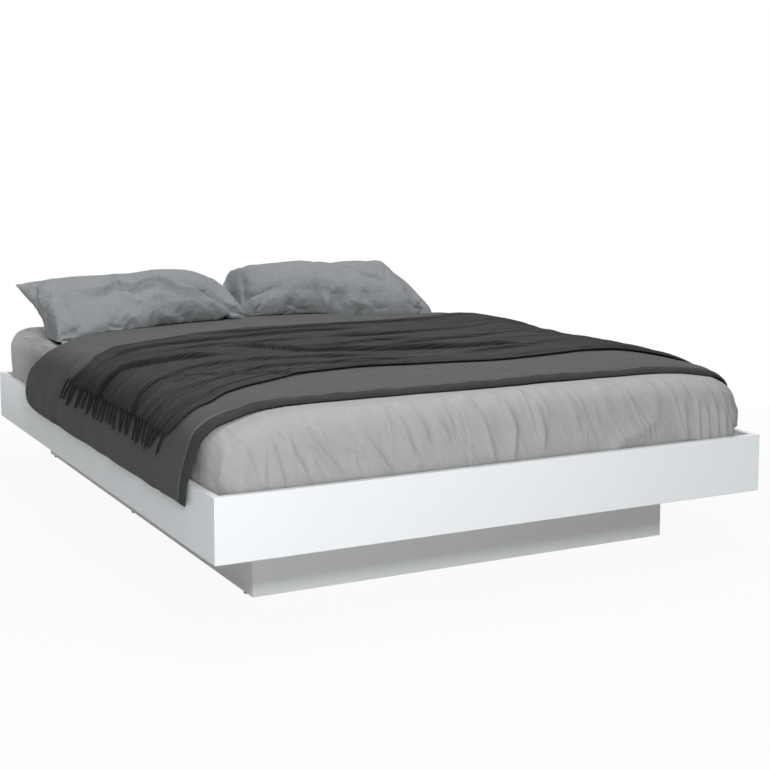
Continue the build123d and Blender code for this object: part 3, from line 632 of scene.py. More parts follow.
def tape_edge(name, z, inset):
    """The bound tape that closes a panel to the border, as a bead round the mattress."""
    sides = (spaced(((1.0, 12),)), spaced(((1.0, 16),)))
    outline = round_outline(mattress_half_x - inset, mattress_half_y - inset, mattress_corner, *sides, 8)
    curve = round_curve(name, tape_radius, 2)
    spline = curve.splines.new("POLY")
    spline.points.add(len(outline) - 1)
    for point, ((x, y), _) in zip(spline.points, outline):
        point.co = (*settled(Vector((x, y, z))), 1)
    spline.use_cyclic_u = True
    return smooth_mesh(name, curve)


# The top tape sits in the middle of the rounded edge
tape_inset = mattress_edge * (1 - math.sqrt(0.5))
top_tape = tape_edge("mattress_top_tape", mattress_top - tape_inset - 0.0007, tape_inset + 0.0007)
bottom_tape = tape_edge("mattress_bottom_tape", mattress_bottom + 0.0065, 0.0075)

# Woven or knitted threads on coordinates in metres: a fine height and uneven, slubby yarns
woven, woven_in, woven_out = new_group(
    "woven_threads", (("Threads", 700.0), ("Slub length", 30.0), ("Slub width", 420.0)), ("Height", "Slubs")
)
thread_axes = new_node(woven, "SeparateXYZ", Vector=woven_in["Vector"]).outputs
waves = []
for axis in range(2):
    turns = math_node(woven, "MULTIPLY", thread_axes[axis], woven_in["Threads"])
    waves.append(math_node(woven, "SINE", math_node(woven, "MULTIPLY", turns, math.pi)))
crossings = math_node(woven, "MULTIPLY", waves[0], waves[1])
slubs = []
for scales in (("Slub length", "Slub width"), ("Slub width", "Slub length")):
    x, y = (math_node(woven, "MULTIPLY", thread_axes[axis], woven_in[scales[axis]]) for axis in range(2))
    slubs.append(noise_node(woven, new_node(woven, "CombineXYZ", X=x, Y=y).outputs[0], 1.0, 2.0, 0.6))
both_ways = math_node(woven, "MULTIPLY", math_node(woven, "ADD", slubs[0], slubs[1]), 0.5)
feed(
    woven, woven_out, Height=math_node(woven, "MULTIPLY_ADD", crossings, 0.5, 0.5),
    Slubs=ramp_node(woven, both_ways, 0.36, 0.64),
)


def cloth_material(name, dark, pale, threads, slub_length, slub_width, thread_depth, roughness, sheen):
    """A woven cloth between two colours, in metres of its own UV map."""
    material, tree, shader, where = new_material(name, "UV")
    weave = placed_group(
        tree, woven, Vector=where, Threads=threads, Slub_length=slub_length, Slub_width=slub_width
    )
    height = math_node(tree, "MULTIPLY_ADD", weave["Slubs"], 0.8, weave["Height"])
    feed(
        tree, shader, Base_Color=mixed_colour(tree, weave["Slubs"], dark, pale),
        Roughness=ramp_node(tree, weave["Slubs"], 0, 1, roughness + 0.05, roughness - 0.05),
        Normal=bump_node(tree, height, thread_depth), Sheen_Weight=sheen, Sheen_Roughness=0.45,
        Specular_IOR_Level=0.15,
    )
    return material, tree, shader


ticking = cloth_material(
    "mattress_ticking", (0.60, 0.60, 0.58), (0.74, 0.74, 0.72), 900.0, 60.0, 300.0, 0.0002, 0.85, 0.2
)[0]
for piece in (mattress, top_tape, bottom_tape):
    piece.data.materials.append(ticking)
    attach(piece, "mattress")
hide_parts("mattress")

# Fitted sheet
# Warm grey cotton percale, pulled over the mattress and held under it by an elastic hem. It is a
# little too large, so folds run down the foot and gather at the corners.
sheet_low, sheet_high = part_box("fitted_sheet")
sheet_crest = 0.062
bare_from_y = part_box("duvet")[0].y + 0.012
# Its grid is closest at the foot, where its folds are, and on the bare sides near the head
sheet_grid = (
    spaced(((0.617, 168), (0.86, 26), (1.0, 42))), spaced(((0.045, 8), (0.71, 18), (1.0, 70))), 16
)
sheet_side_rows = 20
foot_fold_gain = 2.1
sheet_cloth = 0.0011
rail_gap_room = 0.0024
sheet_profile = [(0.070, sheet_high.z)] + quarter_round(sheet_crest, sheet_high.z, 9)
side_top, side_bottom = sheet_high.z - sheet_crest, sheet_low.z + 0.020
for k in range(1, sheet_side_rows + 1):
    sheet_profile.append((0, side_top + (side_bottom - side_top) * k / sheet_side_rows))
sheet_profile += [(0.006, sheet_low.z + 0.008), (0.016, sheet_low.z + 0.0015), (0.026, sheet_low.z)]
sheet_profile += [(inset, sheet_low.z) for inset in (0.040, 0.055, 0.068)]


def wave(x, y, z):
    """Smooth noise, from about -1 to 1."""
    return noise.noise(Vector((x, y, z)))


def line_through(*places):
    """A line's points in metres, from a flat run of millimetres."""
    return [(a / 1000, b / 1000) for a, b in zip(places[::2], places[1::2])]


def ridge_lines(*rows):
    """Ridges from rows in millimetres: height and width, then the places that the ridge runs through."""
    return [(line_through(*places), height / 1000, width / 1000) for height, width, *places in rows]


# Folds of the sheet's foot, by places across the bed and distances down from its crest: first the
# clear ridges, then the softer ones, then the corner gathers
foot_ridges = ridge_lines(
    (5, 6.5, -733, 85, -743, 190), (3.4, 7.5, -654, 92, -649, 200), (4.2, 7, -640, 75, -601, 210),
    (5.2, 6.5, -600, 85, -540, 200), (6, 6.8, -585, 52, -526, 114, -449, 200),
    (3.8, 9.5, -600, 35, -516, 90, -458, 116, -388, 152), (5.8, 7.5, -425, 75, -360, 159, -320, 205),
    (3, 9, -470, 68, -407, 135), (3.6, 6, -535, 145, -503, 205), (3.4, 6, -430, 152, -405, 210),
    (2.6, 6, -592, 105, -572, 190), (4, 9, -270, 50, -225, 130),
    (3.2, 10, -315, 105, -255, 166, -245, 200), (3.2, 9.5, -215, 70, -165, 140),
    (3.6, 8, -140, 6, -90, 50), (5.2, 9, -115, 12, -70, 109, -38, 210),
    (4.6, 9, -12, 50, 19, 126, 14, 210), (3.8, 9, 78, 60, 104, 134, 105, 185), (3, 8, -45, 6, -12, 60),
    (2.2, 12, 180, 30, 205, 150), (2, 12, 290, 30, 300, 120), (2.2, 9, 458, 85, 450, 150),
    (3, 8, -200, 10, -160, 45), (2.8, 8, -300, 12, -250, 50), (2.6, 8.5, -370, 12, -320, 52),
    (2.6, 8, 50, 6, 75, 45), (2.4, 8, 130, 6, 150, 48), (7, 20, 300, 212, 345, 180, 450, 145),
    (6, 8.5, 590, 95, 597, 230), (7.5, 8, 620, 115, 628, 240), (7, 7.5, 652, 110, 660, 240),
    (7, 7, 684, 125, 690, 240), (6.5, 7, 714, 120, 718, 240), (5.5, 6.5, 745, 110, 748, 240),
    (4, 10, 545, 100, 560, 215), (3.5, 7, -700, 120, -705, 230),
)


def ridge_lift(line, width, across, down):
    """How near a place is to a ridge line, from 0 to 1, with a steep flank and a slow one."""
    nearest, side, share = 9.0, 1, 0.0
    for number, ((ax, ay), (bx, by)) in enumerate(zip(line, line[1:])):
        dx, dy = bx - ax, by - ay
        along = ((across - ax) * dx + (down - ay) * dy) / (dx * dx + dy * dy)
        held = clamped(along)
        off_x, off_y = across - ax - held * dx, down - ay - held * dy
        off = math.hypot(off_x, off_y)
        if off < nearest:
            nearest, share = off, (number + held) / (len(line) - 1)
            side = 1 if off_x * dy - off_y * dx > 0 else -1
    if nearest > 4 * width:
        return 0.0
    off = nearest / width * (1.35 if side > 0 else 0.75)
    taper = min(1, share / 0.25 + 0.25, (1 - share) / 0.25 + 0.25)
    return math.exp(-1.1 * off ** 1.2) * taper


# Fine upright folds on the bare sides near the head
head_ridges = []
chance = random.Random(8)
for number in range(22):
    place = 0.44 + 0.56 * number / 21 + chance.uniform(-0.008, 0.008)
    start = chance.uniform(0.05, 0.10)
    end = start + chance.uniform(0.08, 0.16)
    line = ((place, start), (place + chance.uniform(-0.014, 0.014), end))
    head_ridges.append((line, chance.uniform(0.0018, 0.0040), chance.uniform(0.0070, 0.0110)))


def wrinkled(plain, away, run):
    """The sheet's place, lifted off the mattress by its folds, which stay clear of rails and duvet."""
    lift = 0.0
    if away.z > -0.2:
        soft = wave(plain.x * 5, plain.y * 5, run * 9)
        billow = 0.0016 * (1 + soft)
        if plain.y < -0.80:
            for line, height, width in foot_ridges:
                billow += foot_fold_gain * height * ridge_lift(line, width, plain.x, run)
            # Under the duvet the sheet is flat, and at its edge the folds begin
            lift = billow * clamped((bare_from_y - plain.y) / 0.028)
        elif plain.y > 0.38 and run > 0.03 and abs(away.x) > 0.5:
            for line, height, width in head_ridges:
                billow += height * ridge_lift(line, width, plain.y, run)
            lift = billow
        elif run > 0.06:
            lift = billow
    # Beside the rails there is only a narrow gap
    if plain.z < 0.330 and abs(away.x) > 0.5:
        lift = min(lift, rail_gap_room)
    return settled(plain + away * lift)


fitted_sheet = block_rings(
    "cotton_fitted_sheet", sheet_high.x, sheet_high.y, 0.081, sheet_grid, sheet_profile, wrinkled
)
closed_round(fitted_sheet)


def changed(piece, kind, **settings):
    """Applies a modifier with its settings to the active piece."""
    change = piece.modifiers.new("change", kind)
    for label, value in settings.items():
        setattr(change, label, value)
    bpy.ops.object.modifier_apply(modifier="change")


def bump_over(tree, shader, height, depth):
    """Adds a bump over the one that the shader has."""
    under = shader.inputs["Normal"].links[0].from_socket
    feed(tree, shader, Normal=bump_node(tree, height, depth, under))


def creased(tree, shader, where, width, depth, *noise_values):
    """Adds fine creases, which run along the middle values of a noise."""
    doubled = math_node(tree, "MULTIPLY_ADD", noise_node(tree, where, 1.0, *noise_values), 2.0, -1.0)
    crease = ramp_node(tree, math_node(tree, "ABSOLUTE", doubled), 0.0, width, 1.0, 0.0)
    bump_over(tree, shader, crease, depth)


changed(fitted_sheet, "SOLIDIFY", thickness=sheet_cloth, offset=-1.0)
sheet_cotton, tree, shader = cloth_material(
    "sheet_cotton", (0.350, 0.348, 0.346), (0.402, 0.400, 0.397), 1400.0, 40.0, 700.0, 0.00010, 0.9, 0.05
)
# Fine creases between the folds, which slant down to the right across the foot
where = tree.nodes["Texture Coordinate"].outputs["Object"]
leaning = new_node(tree, "Mapping", Vector=where, Rotation=(0, math.radians(20), 0)).outputs[0]
creased(tree, shader, stretched(tree, leaning, (17, 4.5, 4.5)), 0.34, 0.0030, 1.5, 0.5, 0.5)
fitted_sheet.data.materials.append(sheet_cotton)
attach(fitted_sheet, "mattress")
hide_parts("fitted_sheet")

# Duvet
# A thin quilt in a plain dark grey cotton cover. It lies over the bed and hangs outside both side
# rails. Its foot edge has a stitched band that puckers, and its head corners are drawn back.
duvet_low, duvet_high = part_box("duvet")
rail_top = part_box("foot_rail")[1].z
rail_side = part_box("foot_rail")[1].x
duvet_under = sheet_high.z + 0.0003
drape_radius = 0.050
duvet_side = mattress_high.x + 0.009
duvet_shoulder = duvet_side - drape_radius
shoulder_z = duvet_under - drape_radius
hang_clear = 0.003
# The hanging side slopes out from the mattress to the rail's outer face
hang_lean = math.atan2(rail_side + hang_clear - duvet_side, shoulder_z - rail_top)
full_turn = math.pi / 2 - hang_lean
arc_end = duvet_shoulder + drape_radius * full_turn
slope_top_x = duvet_shoulder + drape_radius * math.sin(full_turn)
slope_top_z = shoulder_z + drape_radius * math.cos(full_turn)
slope_end = arc_end + (slope_top_z - rail_top) / math.cos(hang_lean)
duvet_half = slope_end + rail_top - duvet_low.z
duvet_top_thickness = 0.020
duvet_hang_thickness = 0.0135
duvet_least = 0.004
soft_edge = 0.028
seam_at = 0.030
# Where it bends over the shoulder the filling is squeezed, and beside the right shoulder it bunches
squeeze_at, squeeze_width, squeeze_depth = 0.745, 0.060, 0.0065
bunch_at, bunch_width = 0.66, 0.11


def over_the_side(distance, lift):
    """A place across the bed and its height, by its distance along the duvet's inner face and its
    lift off that face."""
    side = 1 if distance >= 0 else -1
    run = abs(distance)
    if run <= duvet_shoulder:
        x, z, turn = run, duvet_under, 0.0
    elif run <= arc_end:
        turn = (run - duvet_shoulder) / drape_radius
        x, z = duvet_shoulder + drape_radius * math.sin(turn), shoulder_z + drape_radius * math.cos(turn)
    elif run <= slope_end:
        turn = full_turn
        x = slope_top_x + (run - arc_end) * math.sin(hang_lean)
        z = slope_top_z - (run - arc_end) * math.cos(hang_lean)
    else:
        # The cloth eases from the slope to the plumb line over the first stretch below the rail's top
        ease = min(1, (run - slope_end) / 0.03)
        turn = full_turn + hang_lean * ease
        x = rail_side + hang_clear
        z = rail_top - (run - slope_end)
    return side * (x + math.sin(turn) * lift), z + math.cos(turn) * lift


# The duvet's foot and head edge: distances from the middle of the bed, with places along it
duvet_foot_edge = line_through(0, -904, 550, -908, 680, -930, 760, -935, 860, -915, 970, -884)
duvet_head_edge = line_through(
    0, 820, 270, 800, 430, 612, 500, 588, 570, 566, 620, 526, 660, 488, 700, 448, 730, 410, 748, 404,
    775, 446, 810, 524, 840, 582, 870, 604, 900, 613, 930, 611, 950, 584, 969, 480,
)


def bell(off, width):
    """From 1 in the middle down to 0 on both sides."""
    return math.exp(-(off / width) ** 2)


def duvet_foot(distance):
    """The duvet's foot edge at a distance from the middle, with the waves of its puckered hem."""
    return eased(duvet_foot_edge, abs(distance)) + 0.0045 * wave(distance * 13, 0.4, 6.1)


# Soft pleats of the hanging sides: places along the bed at shoulder and hem, then depth and width
hang_pleats = (
    (0.060, 0.235, 0.0080, 0.030), (0.300, 0.360, 0.0035, 0.025), (-0.300, -0.255, 0.0045, 0.030),
    (-0.520, -0.540, 0.0035, 0.026), (-0.700, -0.690, 0.0030, 0.022), (-0.120, -0.060, 0.0030, 0.024),
    (-0.800, -0.800, 0.0035, 0.018),
)
# How much thicker the filling has bunched along the right shoulder, by places along the bed
right_bulk = line_through(
    -700, 0, -550, 3, -400, 5.5, -200, 4.5, -30, 4.5, 60, 12.5, 300, 12.5, 500, 11, 620, 0,
)


def duvet_lift(distance, y):
    """How far the duvet's outer face stands off its inner one: its filling and its soft waves."""
    run = abs(distance)
    hanging = clamped((run - duvet_shoulder) / (slope_end - duvet_shoulder))
    filling = duvet_top_thickness + hanging * (duvet_hang_thickness - duvet_top_thickness)
    filling -= squeeze_depth * bell(run - squeeze_at, squeeze_width)
    to_foot = y - duvet_foot(distance)
    to_head = eased(duvet_head_edge, run) - y
    to_hem = duvet_half - run
    nearest = max(0, min(to_foot, to_head, to_hem))
    full = min(1, nearest / soft_edge)
    filling *= 0.26 + 0.74 * math.sqrt(full * (2 - full))
    top_wave = 0.0062 * wave(distance * 2.4, y * 4.2, 0.7)
    top_wave += 0.0022 * wave(distance * 6, y * 11, 3.7)
    if y > 0.42 and run < 0.74:
        top_wave = min(top_wave, 0)
    hang_wave = 0.0050 * (0.5 + wave(4.1, y * 6.5, run * 2))
    for upper, lower, depth, width in hang_pleats:
        middle = upper + (lower - upper) * hanging
        hang_wave -= depth * bell(y - middle, width)
    # Puckers along the stitched line of the foot band
    pucker = bell(to_foot - 0.032, 0.022) * wave(distance * 26, to_foot * 16, 5.3)
    stitch = -0.0036 * bell(to_foot - seam_at, 0.0048)
    waves = top_wave * (1 - hanging) + max(-0.0045, hang_wave) * hanging
    waves += eased(right_bulk, y) * bell(distance - bunch_at, bunch_width)
    return max(duvet_least, filling + waves + 0.0030 * pucker + stitch * full)


def duvet_place(across, along):
    """The duvet's outer face at shares across and along it, with closer rows near its edges."""
    distance = duvet_half * (2 * across - 1)
    run = abs(distance)
    foot, head = duvet_foot(distance), eased(duvet_head_edge, run)
    packed = along - 0.115 * math.sin(2 * math.pi * along)
    y = foot + packed * (head - foot)
    x, z = over_the_side(distance, duvet_lift(distance, y))
    return settled(Vector((x, y, z)))


def cloth_grid(name, columns, rows, place, width, length):
    """A grid put in place by its vertices' shares across and along, with its UV map in metres."""
    bpy.ops.object.select_all(action="DESELECT")
    bpy.ops.mesh.primitive_grid_add(x_subdivisions=columns, y_subdivisions=rows, size=2)
    piece = bpy.context.active_object
    piece.name = name
    for vertex in piece.data.vertices:
        vertex.co = place((vertex.co.x + 1) / 2, (vertex.co.y + 1) / 2)
    for corner in piece.data.uv_layers.active.data:
        corner.uv = (corner.uv[0] * width, corner.uv[1] * length)
    return piece


duvet_row = 191
duvet_shell = 0.026
duvet_length = duvet_high.y - duvet_low.y
duvet = cloth_grid("cotton_duvet", duvet_row - 1, 130, duvet_place, 2 * duvet_half, duvet_length)
closed_round(duvet)
thickness_group = duvet.vertex_groups.new(name="filling")
edge_distances = []
for vertex in duvet.data.vertices:
    distance = duvet_half * (2 * (vertex.index % duvet_row) / (duvet_row - 1) - 1)
    share = (duvet_lift(distance, vertex.co.y) - 0.0008) / duvet_shell
    thickness_group.add([vertex.index], min(1, max(0.1, share)), "REPLACE")
    edge_distances.append(vertex.co.y - duvet_foot(distance))
duvet.data.attributes.new("from_foot_edge", "FLOAT", "POINT").data.foreach_set("value", edge_distances)
changed(duvet, "SOLIDIFY", thickness=duvet_shell, offset=-1.0, vertex_group="filling")
changed(duvet, "BEVEL", width=0.0022, segments=2, angle_limit=math.radians(55))
bpy.ops.object.shade_smooth()

duvet_cotton, tree, shader = cloth_material(
    "duvet_cotton", (0.075, 0.0785, 0.0775), (0.092, 0.0955, 0.0945), 1200.0, 40.0, 600.0, 0.00010,
    0.9, 0.03,
)
# Soft dents in the filling, longer along the bed than across it
where = tree.nodes["Texture Coordinate"].outputs["UV"]
dents = noise_node(tree, stretched(tree, where, (7, 4, 1)), 1.0, 2.5, 0.45, 0.8)
bump_over(tree, shader, dents, 0.016)


def from_attribute(tree, name):
    """The value that each vertex has in one of the mesh's attributes."""
    node = new_node(tree, "Attribute")
    node.attribute_name = name
    return node.outputs["Fac"]


# The foot band is coloured darker, with a pale line of stitching beside its seam
edge_distance = from_attribute(tree, "from_foot_edge")
plain_colour = shader.inputs["Base Color"].links[0].from_socket
band_end = 0.0285
in_band = ramp_node(tree, edge_distance, band_end - 0.0015, band_end + 0.0015, 0.86, 0.0)
banded = mixed_colour(tree, in_band, plain_colour, (0.034, 0.035, 0.036))
off_stitch = math_node(tree, "ABSOLUTE", math_node(tree, "SUBTRACT", edge_distance, band_end + 0.0045))
stitches = math_node(tree, "MULTIPLY", math_node(tree, "LESS_THAN", off_stitch, 0.0011), 0.45)
feed(tree, shader, Base_Color=mixed_colour(tree, stitches, banded, (0.20, 0.205, 0.205)))
duvet.data.materials.append(duvet_cotton)
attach(duvet, "mattress")
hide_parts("duvet")

# Throw
# A charcoal throw of crinkled rib knit, laid across the bed at a skew. Its ribs run from side to
# side. Deep creases cross it, and each end bends down over the duvet's shoulder.
throw_end_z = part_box("throw")[0].z
throw_length = 0.94
throw_half = arc_end + (slope_top_z - throw_end_z) / math.cos(hang_lean)
throw_cloth = 0.0030
rib_pitch = 0.0115
fine_rib_pitch = 0.0042
stitch_pitch = 0.0030
throw_gap = 0.0009
throw_fullness = 0.0082
foot_ribs_reach = 0.062
foot_rib_pitch = 0.0105
edge_roll_reach = 0.012
throw_foot_edge = line_through(
    -812, -775, -770, -822, -720, -824, -640, -760, -556, -695, -430, -620, -313, -577, -198, -552,
    0, -576, 198, -612, 418, -602, 560, -590, 660, -622, 730, -722, 775, -822, 812, -850,
)
throw_head_edge = line_through(
    -812, 100, -785, 30, -758, -10, -730, 20, -660, 110, -574, 185, -458, 226, -325, 288, -133, 344,
    0, 358, 253, 367, 560, 352, 660, 315, 730, 215, 775, 125, 812, 85,
)
# Deep creases, by distances from the throw's middle and places along the bed
throw_creases = ridge_lines(
    (13, 30, -812, -215, -770, -262, -699, -279, -576, -238, -460, -215),
    (12.5, 34, -360, -60, -307, -105, -232, -205, -67, -262, 224, -338, 420, -400),
    (7.5, 22, -240, -150, -160, -165, 30, -112, 200, -100),
    (6, 16, -660, -530, -601, -552, -395, -600, -250, -610),
    (7.5, 22, -812, -520, -740, -530, -600, -420, -420, -370, -100, -400),
    (8.5, 24, -740, -100, -620, 10, -450, 100, -200, 160, 150, 190),
    (8.5, 26, 20, 30, 250, 20, 500, 60, 800, 40),
    (7, 20, -300, 235, -100, 265, 200, 285, 600, 262, 800, 240),
    (8, 24, 200, -470, 450, -440, 650, -360, 800, -330),
    (7.5, 22, 100, -200, 400, -160, 620, -120, 800, -140),
    (6, 18, -700, -660, -600, -600, -480, -520, -300, -490, 0, -500),
    (6.5, 18, -550, -80, -400, -30, -260, 0, -100, 20),
)


def crease_shift(distance, y):
    """How far the deep creases lift the throw, and how much painted shade it gets in the hollow under each
    lip, from 0 to 1.

    Each crease rises slowly from the head to a lip over a narrow hollow."""
    lift, shade = 0.0, 0.0
    calm = 1 - 0.86 * clamped((distance - 0.36) / 0.30)
    for line, height, width in throw_creases:
        start, end = line[0][0], line[-1][0]
        if not start - 0.06 < distance < end + 0.06:
            continue
        fade = min(1, (distance - start + 0.06) / 0.12, (end + 0.06 - distance) / 0.12) * calm
        if start < -0.80:
            fade = min(1, (end + 0.06 - distance) / 0.12)
        off = (y - eased(line, distance)) / width
        if abs(off) > 4:
            continue
        slow = math.exp(-1.1 * off * off) if off >= 0 else math.exp(-(off * 2.1) ** 2)
        hollow = math.exp(-((off + 0.62) * 2.2) ** 2)
        lift += height * fade * (slow - 0.40 * hollow)
        shade = max(shade, min(1, height * fade / 0.0105) * math.exp(-((off + 0.45) * 3.0) ** 2))
    return lift, shade


def throw_lift(distance, share, y):
    """How far the throw's outer face stands off the duvet."""
    from_foot = share * throw_length
    crinkle = wave(distance * 2.0, share * 34, 1.3)
    crinkle += 0.5 * wave(distance * 4.0, share * 62, 7.9)
    ribs = 0.0
    if from_foot < foot_ribs_reach:
        ribs = math.sin(2 * math.pi * from_foot / foot_rib_pitch) * (1 - from_foot / foot_ribs_reach)
    edge = min(1, from_foot / edge_roll_reach, (1 - share) * throw_length / edge_roll_reach)
    roll = 0.35 + 0.65 * edge
    crease, _ = crease_shift(distance, y)
    plain = throw_fullness + 0.0030 * crinkle + 0.0014 * ribs + crease
    return throw_gap + throw_cloth + max(0.0004, plain * roll)


def throw_spread(across):
    """A distance along the throw from its middle, with closer columns where it bends over the sides."""
    sign = 1 if across >= 0.5 else -1
    out = abs(2 * across - 1)
    bend_from, bend_share = 0.66, 0.74
    if out < bend_share:
        return sign * out / bend_share * bend_from
    return sign * (bend_from + (out - bend_share) / (1 - bend_share) * (throw_half - bend_from))


def throw_place(across, along):
    """The throw's outer face at shares from its left end to its right and from foot to head."""
    distance = throw_spread(across)
    foot, head = eased(throw_foot_edge, distance), eased(throw_head_edge, distance)
    y = foot + along * (head - foot)
    lift = throw_lift(distance, along, y) + duvet_lift(distance, y)
    x, z = over_the_side(distance, lift)
    return settled(Vector((x, y, z)))


throw_columns, throw_rows = 188, 240
throw = cloth_grid("rib_knit_throw", throw_columns, throw_rows, throw_place, 2 * throw_half, throw_length)
closed_round(throw)
# Painted shade: how much each vertex lies in a crease's hollow, kept for darkening its colour
painted_hollow_shades = []
for vertex in throw.data.vertices:
    column, row = vertex.index % (throw_columns + 1), vertex.index // (throw_columns + 1)
    distance, share = throw_spread(column / throw_columns), row / throw_rows
    y = eased(throw_foot_edge, distance) * (1 - share) + eased(throw_head_edge, distance) * share
    painted_hollow_shades.append(crease_shift(distance, y)[1])
throw.data.attributes.new("painted_hollow_shade", "FLOAT", "POINT").data.foreach_set("value", painted_hollow_shades)
changed(throw, "SOLIDIFY", thickness=throw_cloth, offset=-1.0)
bpy.ops.object.shade_smooth()

throw_knit, tree, shader, where = new_material("throw_knit", "UV")
axes = new_node(tree, "SeparateXYZ", Vector=where).outputs
# Broad ribs from end to end, which drift and swell, with fine ribs and stitches over them
drift = math_node(tree, "MULTIPLY", noise_node(tree, stretched(tree, where, (1.4, 8, 1)), 1.0, 2.0), 5.0)
swell = noise_node(tree, stretched(tree, where, (2.6, 24, 1)), 1.0, 1.0)
turns = math_node(tree, "MULTIPLY_ADD", axes[1], 1 / rib_pitch, drift)
broad = math_node(tree, "SINE", math_node(tree, "MULTIPLY", turns, 2 * math.pi))
broad = math_node(tree, "MULTIPLY", broad, ramp_node(tree, swell, 0.35, 0.6, 0.15, 1.0))
fine = math_node(tree, "SINE", math_node(tree, "MULTIPLY", axes[1], 2 * math.pi / fine_rib_pitch))
stitch_wave = math_node(tree, "SINE", math_node(tree, "MULTIPLY", axes[0], 2 * math.pi / stitch_pitch))
knit_height = math_node(tree, "MULTIPLY_ADD", stitch_wave, 0.25, fine)
fuzz = noise_node(tree, stretched(tree, where, (14, 260, 1)), 1.0, 3.0, 0.65)
knit_height = math_node(tree, "MULTIPLY_ADD", fuzz, 2.4, knit_height)
# Painted shade: the hollows between ribs are painted darker than their crests, and those under creases
# darkest, over an uneven yarn tone
fuzz_tone_and_rib_shade = math_node(tree, "MULTIPLY_ADD", broad, 0.18, 0.18)
fuzz_tone_and_rib_shade = math_node(tree, "MULTIPLY_ADD", ramp_node(tree, fuzz, 0.32, 0.68), 0.60, fuzz_tone_and_rib_shade)
ribbed = mixed_colour(tree, fuzz_tone_and_rib_shade, (0.016, 0.0162, 0.0165), (0.070, 0.0715, 0.0715))
painted_crease_shade = math_node(tree, "MULTIPLY", from_attribute(tree, "painted_hollow_shade"), 0.88)
feed(
    tree, shader, Base_Color=mixed_colour(tree, painted_crease_shade, ribbed, (0.007, 0.0071, 0.0072)),
    Roughness=ramp_node(tree, fuzz, 0.3, 0.7, 0.95, 0.82),
    Normal=bump_node(tree, knit_height, 0.00050, bump_node(tree, broad, 0.0020)),
    Sheen_Weight=0.03, Sheen_Roughness=0.5, Specular_IOR_Level=0.12,
)
throw.data.materials.append(throw_knit)
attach(throw, "mattress")
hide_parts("throw")

# Fringes
# At both ends of the throw its yarns are gathered into knotted tassels, each of a few twisted
# strands that fan out and lean as they lie against the duvet.
tassel_count = 28
strands_per_tassel = 4
tassel_drop = 0.068
strand_radius = 0.0020
strand_start = 0.006
fringe_clear = 0.0052
first_bend = 0.0045


def tassel_strand(curve, side, y, number, lean, splay, length, chance):
    """One twisted yarn of a tassel, from under the throw's end down the duvet's side."""
    spline = curve.splines.new("NURBS")
    steps = 6
    spline.points.add(steps)
    phase = 2 * math.pi * number / strands_per_tassel
    fan = (number - (strands_per_tassel - 1) / 2) * splay + chance.uniform(-0.0010, 0.0010)
    for k, point in enumerate(spline.points):
        share = k / steps
        run = throw_half - strand_start + share * (length + strand_start)
        twist = phase + share * 4.5
        spread = 0.0013 + 0.0008 * math.sin(math.pi * share)
        place_y = y + lean * share + fan * share ** 1.4 + spread * math.cos(twist)
        lift = duvet_lift(side * run, place_y) + throw_gap + fringe_clear + spread * math.sin(twist)
        lift += first_bend * (1 - share) ** 2
        x, z = over_the_side(side * run, lift)
        point.co = (*settled(Vector((x, place_y, z))), 1)
        knot = bell(share - 0.12, 0.09)
        point.radius = 0.95 + 0.55 * knot - 0.35 * share
    spline.order_u = 4
    spline.use_endpoint_u = True
    spline.resolution_u = 2


def fringe(name, side, seed):
    """All tassels of one end of the throw, as one piece."""
    chance = random.Random(seed)
    curve = round_curve(name, strand_radius, 1)
    curve.use_fill_caps = True
    foot, head = (eased(edge, side * throw_half) for edge in (throw_foot_edge, throw_head_edge))
    for k in range(tassel_count):
        share = (k + 0.5) / tassel_count
        y = foot + share * (head - foot) + chance.uniform(-0.006, 0.006)
        # They lean most at the head end, hang plumb in the middle and lean again at the foot
        lean = 0.012 + 0.055 * abs(2 * share - 0.85) + chance.uniform(-0.018, 0.018)
        splay = chance.choice((0.0016, 0.0026, 0.0046))
        length = tassel_drop * chance.uniform(0.80, 1.06)
        for number in range(strands_per_tassel):
            tassel_strand(curve, side, y, number, lean, splay, length * chance.uniform(0.92, 1.0), chance)
    return smooth_mesh(name, curve)


fringe_yarn, tree, shader, where = new_material("fringe_yarn")
ply = noise_node(tree, stretched(tree, where, (420, 420, 90)), 1.0, 3.0, 0.6)
ply_colour = mixed_colour(
    tree, ramp_node(tree, ply, 0.3, 0.7), (0.011, 0.0113, 0.0116), (0.030, 0.0307, 0.0313)
)
feed(
    tree, shader, Base_Color=ply_colour, Roughness=ramp_node(tree, ply, 0.3, 0.7, 0.95, 0.85),
    Normal=bump_node(tree, ply, 0.0006), Sheen_Weight=0.03, Specular_IOR_Level=0.12,
)
for side, name, node, seed in (
    (-1, "tassels_left", "throw_fringe_left", 4), (1, "tassels_right", "throw_fringe_right", 9),
):
    tassels = fringe(name, side, seed)
    tassels.data.materials.append(fringe_yarn)
    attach(tassels, "mattress")
    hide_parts(node)

# Pillows
# Feather pillows in cool grey linen covers. Two panels are sewn along their edges, and the filling
# swells them, so the cloth puckers at the corners and the long sides draw in.
pillow_floor_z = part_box("pillow_left")[0].z
pillow_size = (0.74, 0.50)
pillow_grid = (70, 46)
front_dip = 0.004
panel_gap = 0.005
swelling_moments = 40
# How the covers' cloth behaves while the filling's pressure swells it
cover_cloth = dict(
    quality=7, mass=0.22, tension_stiffness=18, compression_stiffness=18, shear_stiffness=6,
    bending_stiffness=0.35, air_damping=4, use_pressure=True, uniform_pressure_force=4.2,
    shrink_min=-0.10, vertex_group_mass="corners",
)


